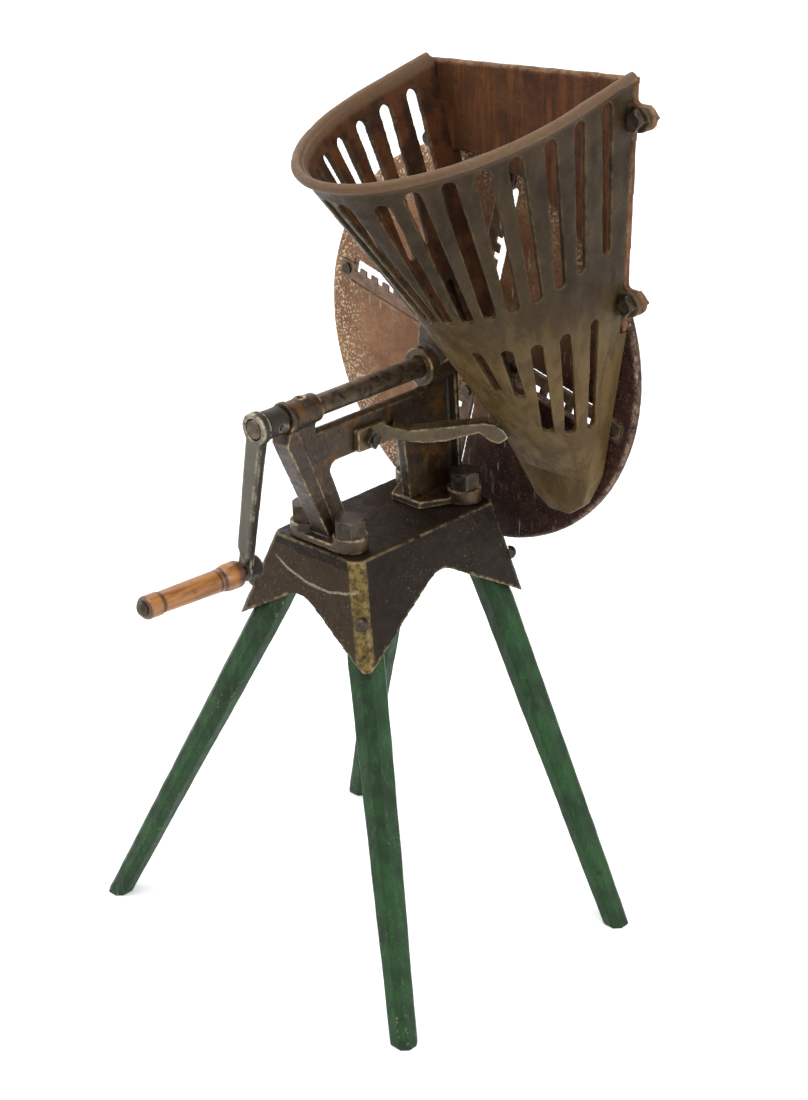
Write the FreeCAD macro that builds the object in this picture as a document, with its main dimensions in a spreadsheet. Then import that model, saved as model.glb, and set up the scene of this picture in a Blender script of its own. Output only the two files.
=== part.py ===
import FreeCAD, Part
import math
import os
import re
import Sketcher
from FreeCAD import Matrix, Placement, Rotation, Vector

# Hand cranked rotary cabbage shredder on four wooden legs, millimetres, +Z up.
# The shaft lies along Y. The crank is at its -Y end, the cutter disc at its +Y end,
# and the slotted half-cone hopper stands in front of the disc on the +X side.
# Sizes below are measured from a datum on the floor, under the shaft, at the middle
# of the base; stand_x and stand_y then set the whole machine over its own footprint.

doc = FreeCAD.newDocument("shredder")
sheet = doc.addObject("Spreadsheet::Sheet", "sizes")

driving_sizes = {
    # Place of the whole machine
    "stand_x": 2.3,
    "stand_y": 14.05,
    # Heights, each stacked on the one below it or hung from the shaft
    "base_low": 133,
    "base_tall": 40,
    "shaft_rise": 54,
    "beam_low_drop": 23,
    "beam_high_drop": 9.5,
    "arm_bolt_drop": 17.8,
    "horn_rise": 45,
    "rim_rise": 113.2,
    "waist_rise": 29,
    "throat_drop": 37,
    "chin_step": 12.5,
    "tip_step": 5,
    # Running and seating clearances
    "running_fit": 0.06,
    "seat_gap": 0.15,
    "disc_gap": 1.4,
    # Wooden legs: the foot centres are uneven, as the real legs splay
    "front_right_foot_x": 71.4,
    "front_right_foot_y": 66.7,
    "front_left_foot_x": 87.6,
    "front_left_foot_y": 75.2,
    "back_right_foot_x": 83,
    "back_right_foot_y": 45.8,
    "back_left_foot_x": 67,
    "back_left_foot_y": 47.4,
    "leg_foot_half": 4.9,
    "leg_seat_half": 6.6,
    "leg_crown_half": 5.7,
    "leg_seat": 27,
    # Base casting: a hollow four-sided saddle with arched skirts
    "base_top_right": 24,
    "base_top_left": 22,
    "base_top_front": 35.5,
    "base_top_back": 41.5,
    "base_low_right": 34.5,
    "base_low_left": 39.2,
    "base_low_front": 43,
    "base_low_back": 48.2,
    "base_wall": 2.6,
    "base_deck": 3.2,
    "corner_flat": 3,
    "end_arch_half": 37,
    "end_arch_height": 19.7,
    "end_arch_centre": 4,
    "side_arch_half": 45,
    "side_arch_height": 24.1,
    "side_arch_centre": 4.75,
    "arch_crown": 12,
    # Frame casting: portal with two bearings
    "web_thick": 4.4,
    "front_foot_y": 27,
    "back_foot_y": 33.5,
    "front_bolt_x": 12.5,
    "front_left_bolt_x": 10.5,
    "back_bolt_x": 14,
    "foot_plate": 3,
    "foot_boss": 6,
    "foot_ear": 6.8,
    "leg_front_edge": 43,
    "leg_heel_edge": 24.8,
    "leg_toe_edge": 15.5,
    "window_lean": 10,
    "flange_wide": 9,
    "flange_thick": 5.2,
    "flange_foot": 4,
    "back_flange_thick": 1.6,
    "bead": 2.3,
    "window_corner": 3.4,
    "standard_front": 16,
    "standard_back": 40,
    "boss_front_start": 44,
    "boss_front_end": 30,
    "boss_front": 5.5,
    "boss_ring": 6.1,
    "boss_ring_thick": 2.4,
    "oil_cup": 2.5,
    "oil_cup_tall": 0.4,
    "boss_back_start": 24,
    "boss_back_end": 45,
    "boss_back": 7.6,
    "oil_hole": 1.1,
    "horn_thick": 4.4,
    "horn_bolt_rise": 8,
    "horn_front": 29,
    "horn_back": 45.5,
    # Bolts that hold the frame to the base
    "bolt": 3.1,
    "hex_flat": 5.4,
    "hex_tall": 6.6,
    "nut_tall": 4.6,
    # Support arm from the beam to the hopper
    "arm_turn": 43,
    "arm_long": 48.3,
    "arm_tall": 6.6,
    "arm_thick": 7.4,
    "arm_edge_thick": 2,
    "arm_root_x": 4,
    "arm_root_y": 1,
    "arm_plate": 2.8,
    "arm_plate_long": 15,
    "arm_bolt": 1.9,
    "arm_bolt_y": 7.5,
    # Hopper shell: key sections of the half cone
    "hopper_back": 50.5,
    "rim_slope": 0.234,
    "rim_cant": 0.047,
    "rim_left": 15.4,
    "rim_right": 80.3,
    "rim_nose": 49.4,
    "waist_left": 6.2,
    "waist_right": 77,
    "waist_nose": 4.2,
    "throat_left": 28.5,
    "throat_right": 66,
    "throat_nose": 45,
    "chin_left": 36.5,
    "chin_right": 60,
    "chin_nose": 47.5,
    "tip_left": 43,
    "tip_right": 53.5,
    "tip_nose": 49.5,
    "side_share": 0.335,
    "hopper_wall": 2.2,
    "rim_bead": 1.9,
    "slot_inset": 14.6,
    "slot_pitch_side": 14.8,
    "slot_pitch_nose": 12.3,
    "slot_pitch_last": 16.6,
    "slot_pitch_far": 14.4,
    "slot_foot_inset": 9.1,
    "slot_foot_first": 13.2,
    "slot_foot_pitch": 7.9,
    "slot_foot_last": 5,
    "slot_pitch_far_last": 9.6,
    "slot_drop": 6.4,
    "slot_drop_far": 9.2,
    "slot_reach": 55,
    "slot_top_half": 2.7,
    "slot_low_half": 2.1,
    "low_slot_inset": 15.5,
    "low_slot_first": 14,
    "low_slot_pitch": 11.5,
    "low_slot_last": 13,
    "low_slot_start_drop": -1,
    "low_slot_top_half": 2.1,
    "low_slot_low_half": 1.9,
    "low_slot_step": 2.2,
    "low_foot_inset": 5.5,
    "low_foot_first": 8,
    "low_foot_pitch": 6,
    "low_foot_last": 2.5,
    "low_slot_long": 39.5,
    "low_slot_short": 24,
    # Back plate of the hopper
    "plate_thick": 3.2,
    "plate_arc": 77.3,
    "plate_top_drop": 0.9,
    "plate_over": 2,
    "plate_left_drop": 35.7,
    "plate_right_rise": 22.5,
    # Ears that clamp plate and shell together
    "ear": 4.6,
    "ear_out": 4.2,
    "ear_thick": 3,
    "ear_upper_drop": 12.2,
    "ear_lower_rise": 35,
    "left_ear_upper_drop": 10.2,
    "left_ear_lower_drop": 31.7,
    "ear_bolt": 1.6,
    "ear_head": 5.6,
    "ear_head_tall": 2.8,
    "ear_nut_tall": 1.2,
    # Cutter disc
    "disc_front": 56,
    "disc_thick": 4.2,
    "disc_radius": 79.6,
    "disc_hub": 9.5,
    "disc_hub_front": 45.6,
    "disc_hub_back": 68,
    "rib_tall": 3,
    "rib_wide": 4,
    "rim_band": 5,
    "knife_turn": 15,
    "throat_inner": 23,
    "throat_outer": 69,
    "throat_wide": 10.4,
    # Toothed knives
    "knife_inner": 17.5,
    "knife_outer": 74.6,
    "knife_lap": 1,
    "knife_wide": 7,
    "knife_thick": 1.6,
    "knife_rise": 0.7,
    "knife_slit": 1,
    "tooth_start": 3,
    "tooth_pitch": 6.4,
    "tooth_gap": 2.9,
    "tooth_deep": 2.7,
    "tooth_count": 7,
    "knife_screw": 1.3,
    "knife_screw_head": 2.2,
    "knife_screw_tall": 1.2,
    # Shaft and what it carries
    "shaft": 4,
    "shaft_front": 60,
    "shaft_back": 79,
    "washer": 8,
    "washer_thick": 1.4,
    "disc_nut_flat": 6.6,
    "disc_nut_tall": 5.5,
    # Crank
    "crank_hang": 12,
    "crank_head": 6.1,
    "crank_hub": 5.3,
    "crank_hub_long": 13,
    "crank_throw": 61,
    "crank_top_wide": 8.6,
    "crank_low_wide": 6.8,
    "crank_thick": 3.8,
    "crank_end": 3.3,
    "crank_boss": 4.4,
    "crank_boss_long": 4.6,
    "crank_bevel": 0.9,
    "hub_pin": 1.1,
    "hub_pin_y": 50.5,
    # Handle
    "handle_long": 45.2,
    "handle_lean": 3.6,
    "handle_gap": 0.8,
    "handle_belly": 5.2,
    "handle_neck": 4.4,
    "handle_waist": 4,
    "handle_end": 4.4,
    "handle_groove": 3.7,
    "handle_pin": 1.9,
    "handle_pin_head": 2.7,
    # Leg screws
    "leg_screw_head": 2.7,
    "leg_screw": 1.4,
    "leg_screw_long": 9,
    "leg_screw_rise": 18,
}

# Heights and places that follow from the sizes above
derived = {
    "base_top": "base_low + base_tall",
    "shaft_height": "base_top + shaft_rise",
    "beam_low": "shaft_height - beam_low_drop",
    "beam_high": "shaft_height - beam_high_drop",
    "arm_bolt_z": "shaft_height - arm_bolt_drop",
    "horn_top": "shaft_height + horn_rise",
    "rim_high": "shaft_height + rim_rise",
    "rim_left_high": "rim_high - rim_cant * (rim_right + rim_left) / 2",
    "rim_right_high": "rim_high + rim_cant * (rim_right + rim_left) / 2",
    "waist_high": "shaft_height + waist_rise",
    "throat_high": "shaft_height - throat_drop",
    "chin_high": "throat_high - chin_step",
    "tip_high": "chin_high - tip_step",
    "low_slot_start": "waist_high - low_slot_start_drop",
    "plate_left_low": "rim_high - plate_left_drop",
    "plate_right_low": "shaft_height + plate_right_rise",
    "ear_upper": "rim_high - ear_upper_drop",
    "ear_lower": "shaft_height + ear_lower_rise",
    "left_ear_upper": "rim_high - left_ear_upper_drop",
    "left_ear_lower": "rim_high - left_ear_lower_drop",
    "horn_bolt_z": "waist_high + horn_bolt_rise",
    "leg_top": "base_low + leg_seat",
    "leg_screw_height": "base_low + leg_screw_rise",
}

for row, (alias, value) in enumerate(driving_sizes.items(), start=1):
    sheet.set(f"A{row}", alias)
    sheet.set(f"B{row}", str(value))
    sheet.setAlias(f"B{row}", alias)
doc.recompute()

nodes = []


# Formulas of the sizes

def bound(formula):
    """The formula with every size name pointing at its cell and every derived name
    written out."""
    def cell(word):
        name = word.group(0)
        if name in derived:
            return f"({bound(derived[name])})"
        return "sizes." + name if name in driving_sizes else name
    return re.sub(r"[a-z_]+", cell, str(formula))


def number(formula):
    """What a formula of the sizes comes to now."""
    result = sheet.evalExpression(bound(formula))
    return float(getattr(result, "Value", result))


# Sketch and feature helpers

def new_body(label):
    body = doc.addObject("PartDesign::Body", label)
    body.Label = label
    return body


def new_sketch(body, plane, lift="0", turn=None):
    """Sketch on one of the body's origin planes, lifted along the plane's normal."""
    role = [o for o in body.Origin.OriginFeatures if o.Role == plane][0]
    sketch = body.newObject("Sketcher::SketchObject", body.Name + "_sketch")
    sketch.AttachmentSupport = [(role, "")]
    sketch.MapMode = "FlatFace"
    if turn is not None:
        sketch.AttachmentOffset = turn
    if str(lift) != "0":
        sketch.setExpression("AttachmentOffset.Base.z", bound(lift))
    return sketch


def pin_point(sketch, piece, end, across, up):
    """Fix one end of a sketch line or arc at coordinates given as formulas."""
    for kind, formula in (("DistanceX", across), ("DistanceY", up)):
        index = sketch.addConstraint(Sketcher.Constraint(kind, -1, 1, piece, end, number(formula)))
        sketch.setExpression(f"Constraints[{index}]", bound(formula))


def outline(body, plane, corners, lift="0", turn=None):
    """Closed outline through corners given as (across, up) formulas. A corner with a
    third and fourth entry starts an arc of that radius, bulging to the left (1) or
    to the right (-1) of the way to the next corner."""
    sketch = new_sketch(body, plane, lift, turn)
    points = [Vector(number(c[0]), number(c[1]), 0) for c in corners]
    ends = []
    for index, corner in enumerate(corners):
        start, stop = points[index], points[(index + 1) % len(points)]
        if len(corner) == 2:
            sketch.addGeometry(Part.LineSegment(start, stop))
            ends.append((1, 2))
            continue
        radius, side = number(corner[2]), corner[3]
        chord = stop - start
        normal = Vector(-chord.y, chord.x, 0).normalize()
        height = math.sqrt(max(radius ** 2 - (chord.Length / 2) ** 2, 0))
        centre = (start + stop) * 0.5 - normal * side * height
        first, last = (stop, start) if side > 0 else (start, stop)
        angles = [math.atan2(p.y - centre.y, p.x - centre.x) for p in (first, last)]
        if angles[1] < angles[0]:
            angles[1] += 2 * math.pi
        circle = Part.Circle(centre, Vector(0, 0, 1), radius)
        piece = sketch.addGeometry(Part.ArcOfCircle(circle, angles[0], angles[1]))
        size = sketch.addConstraint(Sketcher.Constraint("Radius", piece, radius))
        sketch.setExpression(f"Constraints[{size}]", bound(corner[2]))
        ends.append((2, 1) if side > 0 else (1, 2))
    for index, corner in enumerate(corners):
        following = (index + 1) % len(corners)
        sketch.addConstraint(Sketcher.Constraint("Coincident", index, ends[index][1],
                                                 following, ends[following][0]))
        pin_point(sketch, index, ends[index][0], corner[0], corner[1])
    return sketch


def circles(body, plane, rounds, lift="0"):
    """Circles given as (across, up, radius) formulas."""
    sketch = new_sketch(body, plane, lift)
    for across, up, radius in rounds:
        centre = Vector(number(across), number(up), 0)
        piece = sketch.addGeometry(Part.Circle(centre, Vector(0, 0, 1), number(radius)))
        size = sketch.addConstraint(Sketcher.Constraint("Radius", piece, number(radius)))
        sketch.setExpression(f"Constraints[{size}]", bound(radius))
        pin_point(sketch, piece, 3, across, up)
    return sketch


def pad(body, sketch, length, both=False, back=False):
    """Material on the sketch: along its normal, against it, or to both sides."""
    feature = body.newObject("PartDesign::Pad", body.Name + "_pad")
    feature.Profile = sketch
    feature.Midplane = both
    feature.Reversed = back
    feature.Length = number(length)
    feature.setExpression("Length", bound(length))
    sketch.Visibility = False
    return settle(body, feature, 1)


def pocket(body, sketch, length=None, back=False, both=False):
    """A cut of the sketch: of one depth against its normal, to both sides of the
    sketch by half that depth, or right through."""
    feature = body.newObject("PartDesign::Pocket", body.Name + "_pocket")
    feature.Profile = sketch
    feature.Reversed = back
    if length is None:
        feature.Type = "ThroughAll"
        feature.Midplane = True
    else:
        feature.Midplane = both
        feature.Length = number(length)
        feature.setExpression("Length", bound(length))
    return settle(body, feature, -1)


def revolve(body, sketch, cut=False):
    """The sketch turned once round its own horizontal axis."""
    kind = "PartDesign::Groove" if cut else "PartDesign::Revolution"
    feature = body.newObject(kind, body.Name + "_turned")
    feature.Profile = sketch
    feature.ReferenceAxis = (sketch, ["H_Axis"])
    feature.Angle = 360
    return settle(body, feature, -1 if cut else 1)


def loft(body, sketches, cut=False):
    """Straight-sided body between two or more outlines."""
    kind = "PartDesign::SubtractiveLoft" if cut else "PartDesign::AdditiveLoft"
    feature = body.newObject(kind, body.Name + "_loft")
    feature.Profile = sketches[0]
    feature.Sections = sketches[1:]
    feature.Ruled = True
    return settle(body, feature, -1 if cut else 1)


def settle(body, feature, way):
    """Recompute and make sure that the feature added (1) or removed (-1) material."""
    body.Tip = feature
    doc.recompute()
    before = feature.BaseFeature.Shape.Volume if feature.BaseFeature else 0.0
    if (feature.Shape.Volume - before) * way <= 1e-6:
        raise RuntimeError(f"{feature.Name} changed nothing")
    return feature


def round_edges(body, radius, chosen, kind="PartDesign::Fillet"):
    """Fillet or chamfer the edges of the body's tip that the test picks."""
    solid = body.Tip
    names = [f"Edge{i}" for i, edge in enumerate(solid.Shape.Edges, start=1) if chosen(edge)]
    feature = body.newObject(kind, body.Name + "_edge")
    feature.Base = (solid, names)
    size = "Radius" if kind.endswith("Fillet") else "Size"
    setattr(feature, size, number(radius))
    feature.setExpression(size, bound(radius))
    body.Tip = feature
    doc.recompute()
    return feature


def stand_at(thing, x="0", y="0", z="0", turn=None):
    """Set a finished node in the machine: datum offset plus its own place and turn."""
    if turn is not None:
        thing.Placement = Placement(Vector(), turn)
    thing.setExpression("Placement.Base.x", bound(f"stand_x + {x}"))
    thing.setExpression("Placement.Base.y", bound(f"stand_y + {y}"))
    thing.setExpression("Placement.Base.z", bound(z))


def keep(thing, label=None):
    """List a finished node for export under its label."""
    if label is not None:
        thing.Label = label
    nodes.append(thing)
    return thing


# Fastener helpers: every fastener is drawn upright on the origin, head above z = 0

def primitive(kind, name, place=None, **formulas):
    """A basic solid whose sizes are formulas, with an optional place and turn."""
    thing = doc.addObject(kind, name)
    if place is not None:
        thing.Placement = place
    for key, formula in formulas.items():
        setattr(thing, key, number(formula))
        thing.setExpression(key, bound(formula))
    return thing


def joined(name, kind, base, tool):
    """Union, difference or overlap of two solids."""
    thing = doc.addObject(kind, name)
    thing.Base = base
    thing.Tool = tool
    return thing


def sided_bolt(name, sides, head, tall, shank, reach):
    """Bolt with a prismatic head: sides, distance from axis to flat, head height,
    shank radius and length under the head."""
    top = primitive("Part::Prism", name + "_head", Circumradius=f"{head} / cos(180 / {sides})",
                    Height=tall)
    top.Polygon = sides
    dome = primitive("Part::Cone", name + "_dome", Radius1=f"{head} * 1.05 + {tall}",
                     Radius2=f"{head} * 1.05 - 0.25", Height=tall)
    cap = joined(name + "_cap", "Part::Common", top, dome)
    turn = Placement(Vector(), Rotation(Vector(1, 0, 0), 180))
    stem = primitive("Part::Cylinder", name + "_stem", turn, Radius=shank, Height=reach)
    return joined(name, "Part::Fuse", cap, stem)


def sided_nut(name, sides, flat, tall, bore):
    """Nut whose top face is at z = 0, with its bore along the axis."""
    down = Placement(Vector(), Rotation(Vector(1, 0, 0), 180))
    block = primitive("Part::Prism", name + "_block", down,
                      Circumradius=f"{flat} / cos(180 / {sides})", Height=tall)
    block.Polygon = sides
    hole = primitive("Part::Cylinder", name + "_hole", down, Radius=bore, Height=tall)
    return joined(name, "Part::Cut", block, hole)


def place_piece(thing, place, formulas=None):
    """Give a piece of a group its place; formulas bind single coordinates."""
    thing.Placement = place
    for key, formula in (formulas or {}).items():
        thing.setExpression("Placement.Base." + key, bound(formula))
    return thing


def group(label, pieces):
    """Separate like solids kept as one node."""
    thing = doc.addObject("Part::Compound", label)
    thing.Links = pieces
    stand_at(thing)
    return keep(thing, label)


# Base casting
# Hollow saddle: a four-sided frustum with flattened corners, arched on all four sides.

def base_section(height, inset="0"):
    """Corners of the base's outline at a height, set in by a wall."""
    right, left, front, back = [f"({base_at(height, side)} - {inset})" for side in base_sides]
    c = "corner_flat"
    return [(f"{right} - {c}", f"-{front}"), (right, f"{c} - {front}"), (right, f"{back} - {c}"),
            (f"{right} - {c}", back), (f"{c} - {left}", back), (f"-{left}", f"{back} - {c}"),
            (f"-{left}", f"{c} - {front}"), (f"{c} - {left}", f"-{front}")]


base_sides = ("right", "left", "front", "back")


def base_at(height, side):
    """Where one flank of the base stands at a height, by proportion from low to top."""
    low, top = f"base_low_{side}", f"base_top_{side}"
    return f"({low} + ({top} - {low}) * ({height} - base_low) / base_tall)"


base = new_body("base_casting")
roof = "(base_top - base_deck)"
loft(base, [outline(base, "XY_Plane", base_section(z), z) for z in ("base_low", "base_top")])
loft(base, [outline(base, "XY_Plane", base_section(z, "base_wall"), z) for z in ("base_low", roof)], cut=True)


def arch(half, rise, centre="0"):
    """Arch: straight flanks and a round crown, open below the base."""
    crown_half = "arch_crown * 0.52"
    crown_foot = f"base_low + {rise} - arch_crown * 0.146"
    springing = "base_low - 0.5"
    return [(f"{centre} + {half}", springing),
            (f"{centre} + {crown_half}", crown_foot, "arch_crown", -1),
            (f"{centre} - {crown_half}", crown_foot),
            (f"{centre} - {half}", springing)]


pocket(base, outline(base, "XZ_Plane", arch("end_arch_half", "end_arch_height", "-end_arch_centre")))
pocket(base, outline(base, "YZ_Plane", arch("side_arch_half", "side_arch_height", "side_arch_centre")))
bolt_spots = [("front_bolt_x", "-front_foot_y"), ("-front_left_bolt_x", "-front_foot_y"),
              ("back_bolt_x", "back_foot_y"), ("-back_bolt_x", "back_foot_y")]
pocket(base, circles(base, "XY_Plane", [(x, y, "bolt") for x, y in bolt_spots], "base_top"), "base_deck + 1")


# Wooden legs
# Eight-sided, tapered to the foot, each seated in a corner of the base and held by a
# screw through the flattened corner.

def octagon(centre_x, centre_y, half):
    """Corners of an eight-sided section with its corners planed off."""
    cut = f"{half} * 0.5"
    ring = [(half, f"-{cut}"), (half, cut), (cut, half), (f"-{cut}", half),
            (f"-{half}", cut), (f"-{half}", f"-{cut}"), (f"-{cut}", f"-{half}"), (cut, f"-{half}")]
    return [(f"{centre_x} + {x}", f"{centre_y} + {y}") for x, y in ring]


leg_sides = {
    "leg_front_right": ("", "-", "front_right_foot", "right", "front"),
    "leg_front_left": ("-", "-", "front_left_foot", "left", "front"),
    "leg_back_right": ("", "", "back_right_foot", "right", "back"),
    "leg_back_left": ("-", "", "back_left_foot", "left", "back"),
}


def leg_centre(label, height):
    """Centre of a leg at a height, on the line from its foot to its seat in the base.
    The crown stays clear of the base's walls where they lean in more than the leg."""
    side_x, side_y, foot, flank_x, flank_y = leg_sides[label]
    share = f"({height}) / base_low"
    seat_x = f"(base_low_{flank_x} - base_wall - leg_seat_half - seat_gap)"
    seat_y = f"(base_low_{flank_y} - base_wall - leg_seat_half - seat_gap)"
    along_x = f"({foot}_x + ({seat_x} - {foot}_x) * {share})"
    along_y = f"({foot}_y + ({seat_y} - {foot}_y) * {share})"
    if height == "leg_top":
        along_x = f"min({along_x}; {base_at(height, flank_x)} - base_wall - leg_crown_half - seat_gap)"
        along_y = f"min({along_y}; {base_at(height, flank_y)} - base_wall - leg_crown_half - seat_gap)"
    return f"({side_x}1 * {along_x})", f"({side_y}1 * {along_y})"


def screw_place(label):
    """Where a leg screw's head seats on the flattened corner, and its way in."""
    side_x, side_y, _, flank_x, flank_y = leg_sides[label]
    half = number(base_at("leg_screw_height", flank_x))
    deep = number(base_at("leg_screw_height", flank_y))
    inward = number("corner_flat") / 2
    sign_x, sign_y = float(side_x + "1"), float(side_y + "1")
    spot = Vector(sign_x * (half - inward), sign_y * (deep - inward), number("leg_screw_height"))
    out = Vector(sign_x, sign_y, 0.32).normalize()
    return Placement(spot, Rotation(Vector(0, 0, 1), out))


for leg_label in leg_sides:
    leg = new_body(leg_label)
    levels = (("0", "leg_foot_half"), ("base_low", "leg_seat_half"), ("leg_top", "leg_crown_half"))
    loft(leg, [outline(leg, "XY_Plane", octagon(*leg_centre(leg_label, z), half), z) for z, half in levels])
    hole = leg.newObject("PartDesign::SubtractiveCylinder", leg_label + "_screw_hole")
    hole.Radius = number("leg_screw")
    hole.setExpression("Radius", bound("leg_screw"))
    hole.Height = number("leg_screw_long")
    hole.setExpression("Height", bound("leg_screw_long"))
    hole.AttachmentOffset = screw_place(leg_label).multiply(
        Placement(Vector(0, 0, -number("leg_screw_long")), Rotation()))
    hole.Placement = hole.AttachmentOffset
    settle(leg, hole, -1)
    stand_at(leg)
    keep(leg)

for leg_label in leg_sides:
    hole = base.newObject("PartDesign::SubtractiveCylinder", "base_screw_hole")
    hole.Radius = number("leg_screw")
    hole.setExpression("Radius", bound("leg_screw"))
    hole.Height = number("leg_screw_long")
    hole.setExpression("Height", bound("leg_screw_long"))
    hole.Placement = screw_place(leg_label).multiply(
        Placement(Vector(0, 0, -number("leg_screw_long * 0.75")), Rotation()))
    settle(base, hole, -1)
stand_at(base)
keep(base)

leg_screws = []
for leg_label in leg_sides:
    ball = primitive("Part::Sphere", "screw_ball", Radius="leg_screw_head")
    ball.Angle1 = 0
    down = Placement(Vector(), Rotation(Vector(1, 0, 0), 180))
    stem = primitive("Part::Cylinder", "screw_stem", down, Radius="leg_screw", Height="leg_screw_long")
    leg_screws.append(place_piece(joined("leg_screw", "Part::Fuse", ball, stem), screw_place(leg_label)))
group("leg_screws", leg_screws)

# Frame casting
# Portal in the plane of the shaft: a flanged front leg, a beam with a rounded top,
# a rear standard, two bearing bosses, bolted feet and a horn beside the hopper.

frame = new_body("frame_casting")
web = [
    ("-leg_front_edge", "shaft_height - boss_front * 0.8"),
    ("-leg_heel_edge", "base_top"),
    ("-leg_toe_edge", "base_top"),
    ("-leg_toe_edge - window_lean", "beam_low - window_corner", "window_corner", 1),
    ("-leg_toe_edge - window_lean + window_corner", "beam_low"),
    ("standard_front - 3 - window_corner", "beam_low", "window_corner", 1),
    ("standard_front - 3", "beam_low - window_corner"),
    ("standard_front", "base_top"),
    ("standard_back", "base_top"),
    ("standard_back - 2", "shaft_height"),
    ("boss_back_start + 2", "shaft_height"),
    ("boss_back_start + 2", "beam_high"),
    ("-boss_front_end - 2", "beam_high"),
    ("-boss_front_end - 2", "shaft_height - boss_front * 0.6"),
]
pad(frame, outline(frame, "YZ_Plane", web), "web_thick", both=True)
front_flange = [
    ("-leg_front_edge - flange_thick * 0.7", "shaft_height - boss_front * 0.9"),
    ("-leg_front_edge - flange_thick", "shaft_height - boss_front * 1.7"),
    ("-leg_heel_edge - flange_foot", "base_top"),
    ("-leg_heel_edge + 1", "base_top"),
    ("-leg_front_edge + 1", "shaft_height - boss_front * 0.9"),
]
pad(frame, outline(frame, "YZ_Plane", front_flange), "flange_wide", both=True)
back_flange = [
    ("standard_back - 0.5", "base_top"),
    ("standard_back + back_flange_thick", "base_top"),
    ("standard_back + back_flange_thick - 2", "shaft_height - 2"),
    ("standard_back - 2.5", "shaft_height - 2"),
]
pad(frame, outline(frame, "YZ_Plane", back_flange), "flange_wide * 1.4", both=True)


def along_shaft(body, radius, start, length, across="0", up="shaft_height"):
    """Round boss on a line along Y, from y = start towards +Y."""
    return pad(body, circles(body, "XZ_Plane", [(across, up, radius)], f"-({start})"), length, back=True)


along_shaft(frame, "boss_front", "-boss_front_start", "boss_front_start - boss_front_end")
along_shaft(frame, "boss_ring", "-boss_front_start - boss_ring_thick + 0.4", "boss_ring_thick")
along_shaft(frame, "boss_back", "boss_back_start", "boss_back_end - boss_back_start")
along_shaft(frame, "bead", "-boss_front_end - 2", "boss_front_end + boss_back_start + 4",
            up="beam_high - 1")
oil_front = "-(boss_front_start + boss_front_end) / 2"
pad(frame, circles(frame, "XY_Plane", [("0", oil_front, "oil_cup")], "shaft_height"),
    "boss_front + oil_cup_tall")


def foot(y_in, y_out, bolt_y, right, left):
    """Foot plate with two thick ears round the bolts."""
    shoulder = f"{bolt_y} + ({y_in} - {bolt_y}) * 0.35"
    corners = [(right, y_out), (f"-{left}", y_out), (f"-{left}", shoulder),
               (f"-{left} * 0.55", y_in), (f"{right} * 0.55", y_in), (right, shoulder)]
    pad(frame, outline(frame, "XY_Plane", corners, "base_top"), "foot_plate")
    ears = circles(frame, "XY_Plane", [(right, bolt_y, "foot_ear"), (f"-{left}", bolt_y, "foot_ear")],
                   "base_top")
    pad(frame, ears, "foot_boss")


foot("-leg_toe_edge", "-front_foot_y - foot_ear", "-front_foot_y", "front_bolt_x", "front_left_bolt_x")
foot("standard_front - 1", "back_foot_y + foot_ear", "back_foot_y", "back_bolt_x", "back_bolt_x")


def shell_left(height):
    """The hopper's left wall at the back, at a height between waist and rim."""
    return f"(waist_left - (waist_left + rim_left) * ({height} - waist_high) / (rim_left_high - waist_high))"


def shell_left_low(height):
    """The hopper's left wall at the back, at a height between throat and waist."""
    share = f"({height} - throat_high) / (waist_high - throat_high)"
    return f"(throat_left - (throat_left - waist_left) * {share})"


def beside_shell(height):
    """Line just left of the hopper's wall from the horn's front to its back. The rim is
    lowest at the horn's front, so the wall leans out most there."""
    front_rim = "(rim_left_high - rim_slope * (hopper_back - horn_front))"
    share = f"({height} - waist_high) / ({front_rim} - waist_high)"
    return f"(waist_left - (waist_left + rim_left) * {share} - seat_gap)"


horn = [
    ("-boss_back * 0.8", "shaft_height"),
    ("boss_back * 0.8", "shaft_height"),
    (shell_left_low("(shaft_height + 6)") + " - seat_gap", "shaft_height + 6"),
    ("waist_left - seat_gap", "waist_high"),
    (beside_shell("horn_top"), "horn_top"),
    (beside_shell("horn_top") + " - horn_thick", "horn_top"),
    ("waist_left - horn_thick - 4", "waist_high - 4"),
]
pad(frame, outline(frame, "XZ_Plane", horn, "-horn_front"), "horn_back - horn_front", back=True)
pocket(frame, circles(frame, "XZ_Plane", [("0", "shaft_height", "shaft + running_fit")]))
pocket(frame, circles(frame, "XY_Plane", [(x, y, "bolt") for x, y in bolt_spots],
                      "base_top + foot_boss"), "foot_boss + 1")
oil_back = "(boss_back_start + horn_front) / 2"
pocket(frame, circles(frame, "XY_Plane", [("0", oil_front, "oil_hole"), ("0", oil_back, "oil_hole")],
                      "shaft_height + boss_back + 1"), "boss_back + 1")
pocket(frame, circles(frame, "YZ_Plane", [("-arm_bolt_y", "arm_bolt_z", "arm_bolt")]))
horn_bolt_y = "(horn_back - arm_bolt * 2.9)"
pocket(frame, circles(frame, "YZ_Plane", [(horn_bolt_y, "horn_bolt_z", "arm_bolt")]))
stand_at(frame)
keep(frame)

# Bolts of the frame: three six-sided heads and one square one, with nuts below the deck

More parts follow.
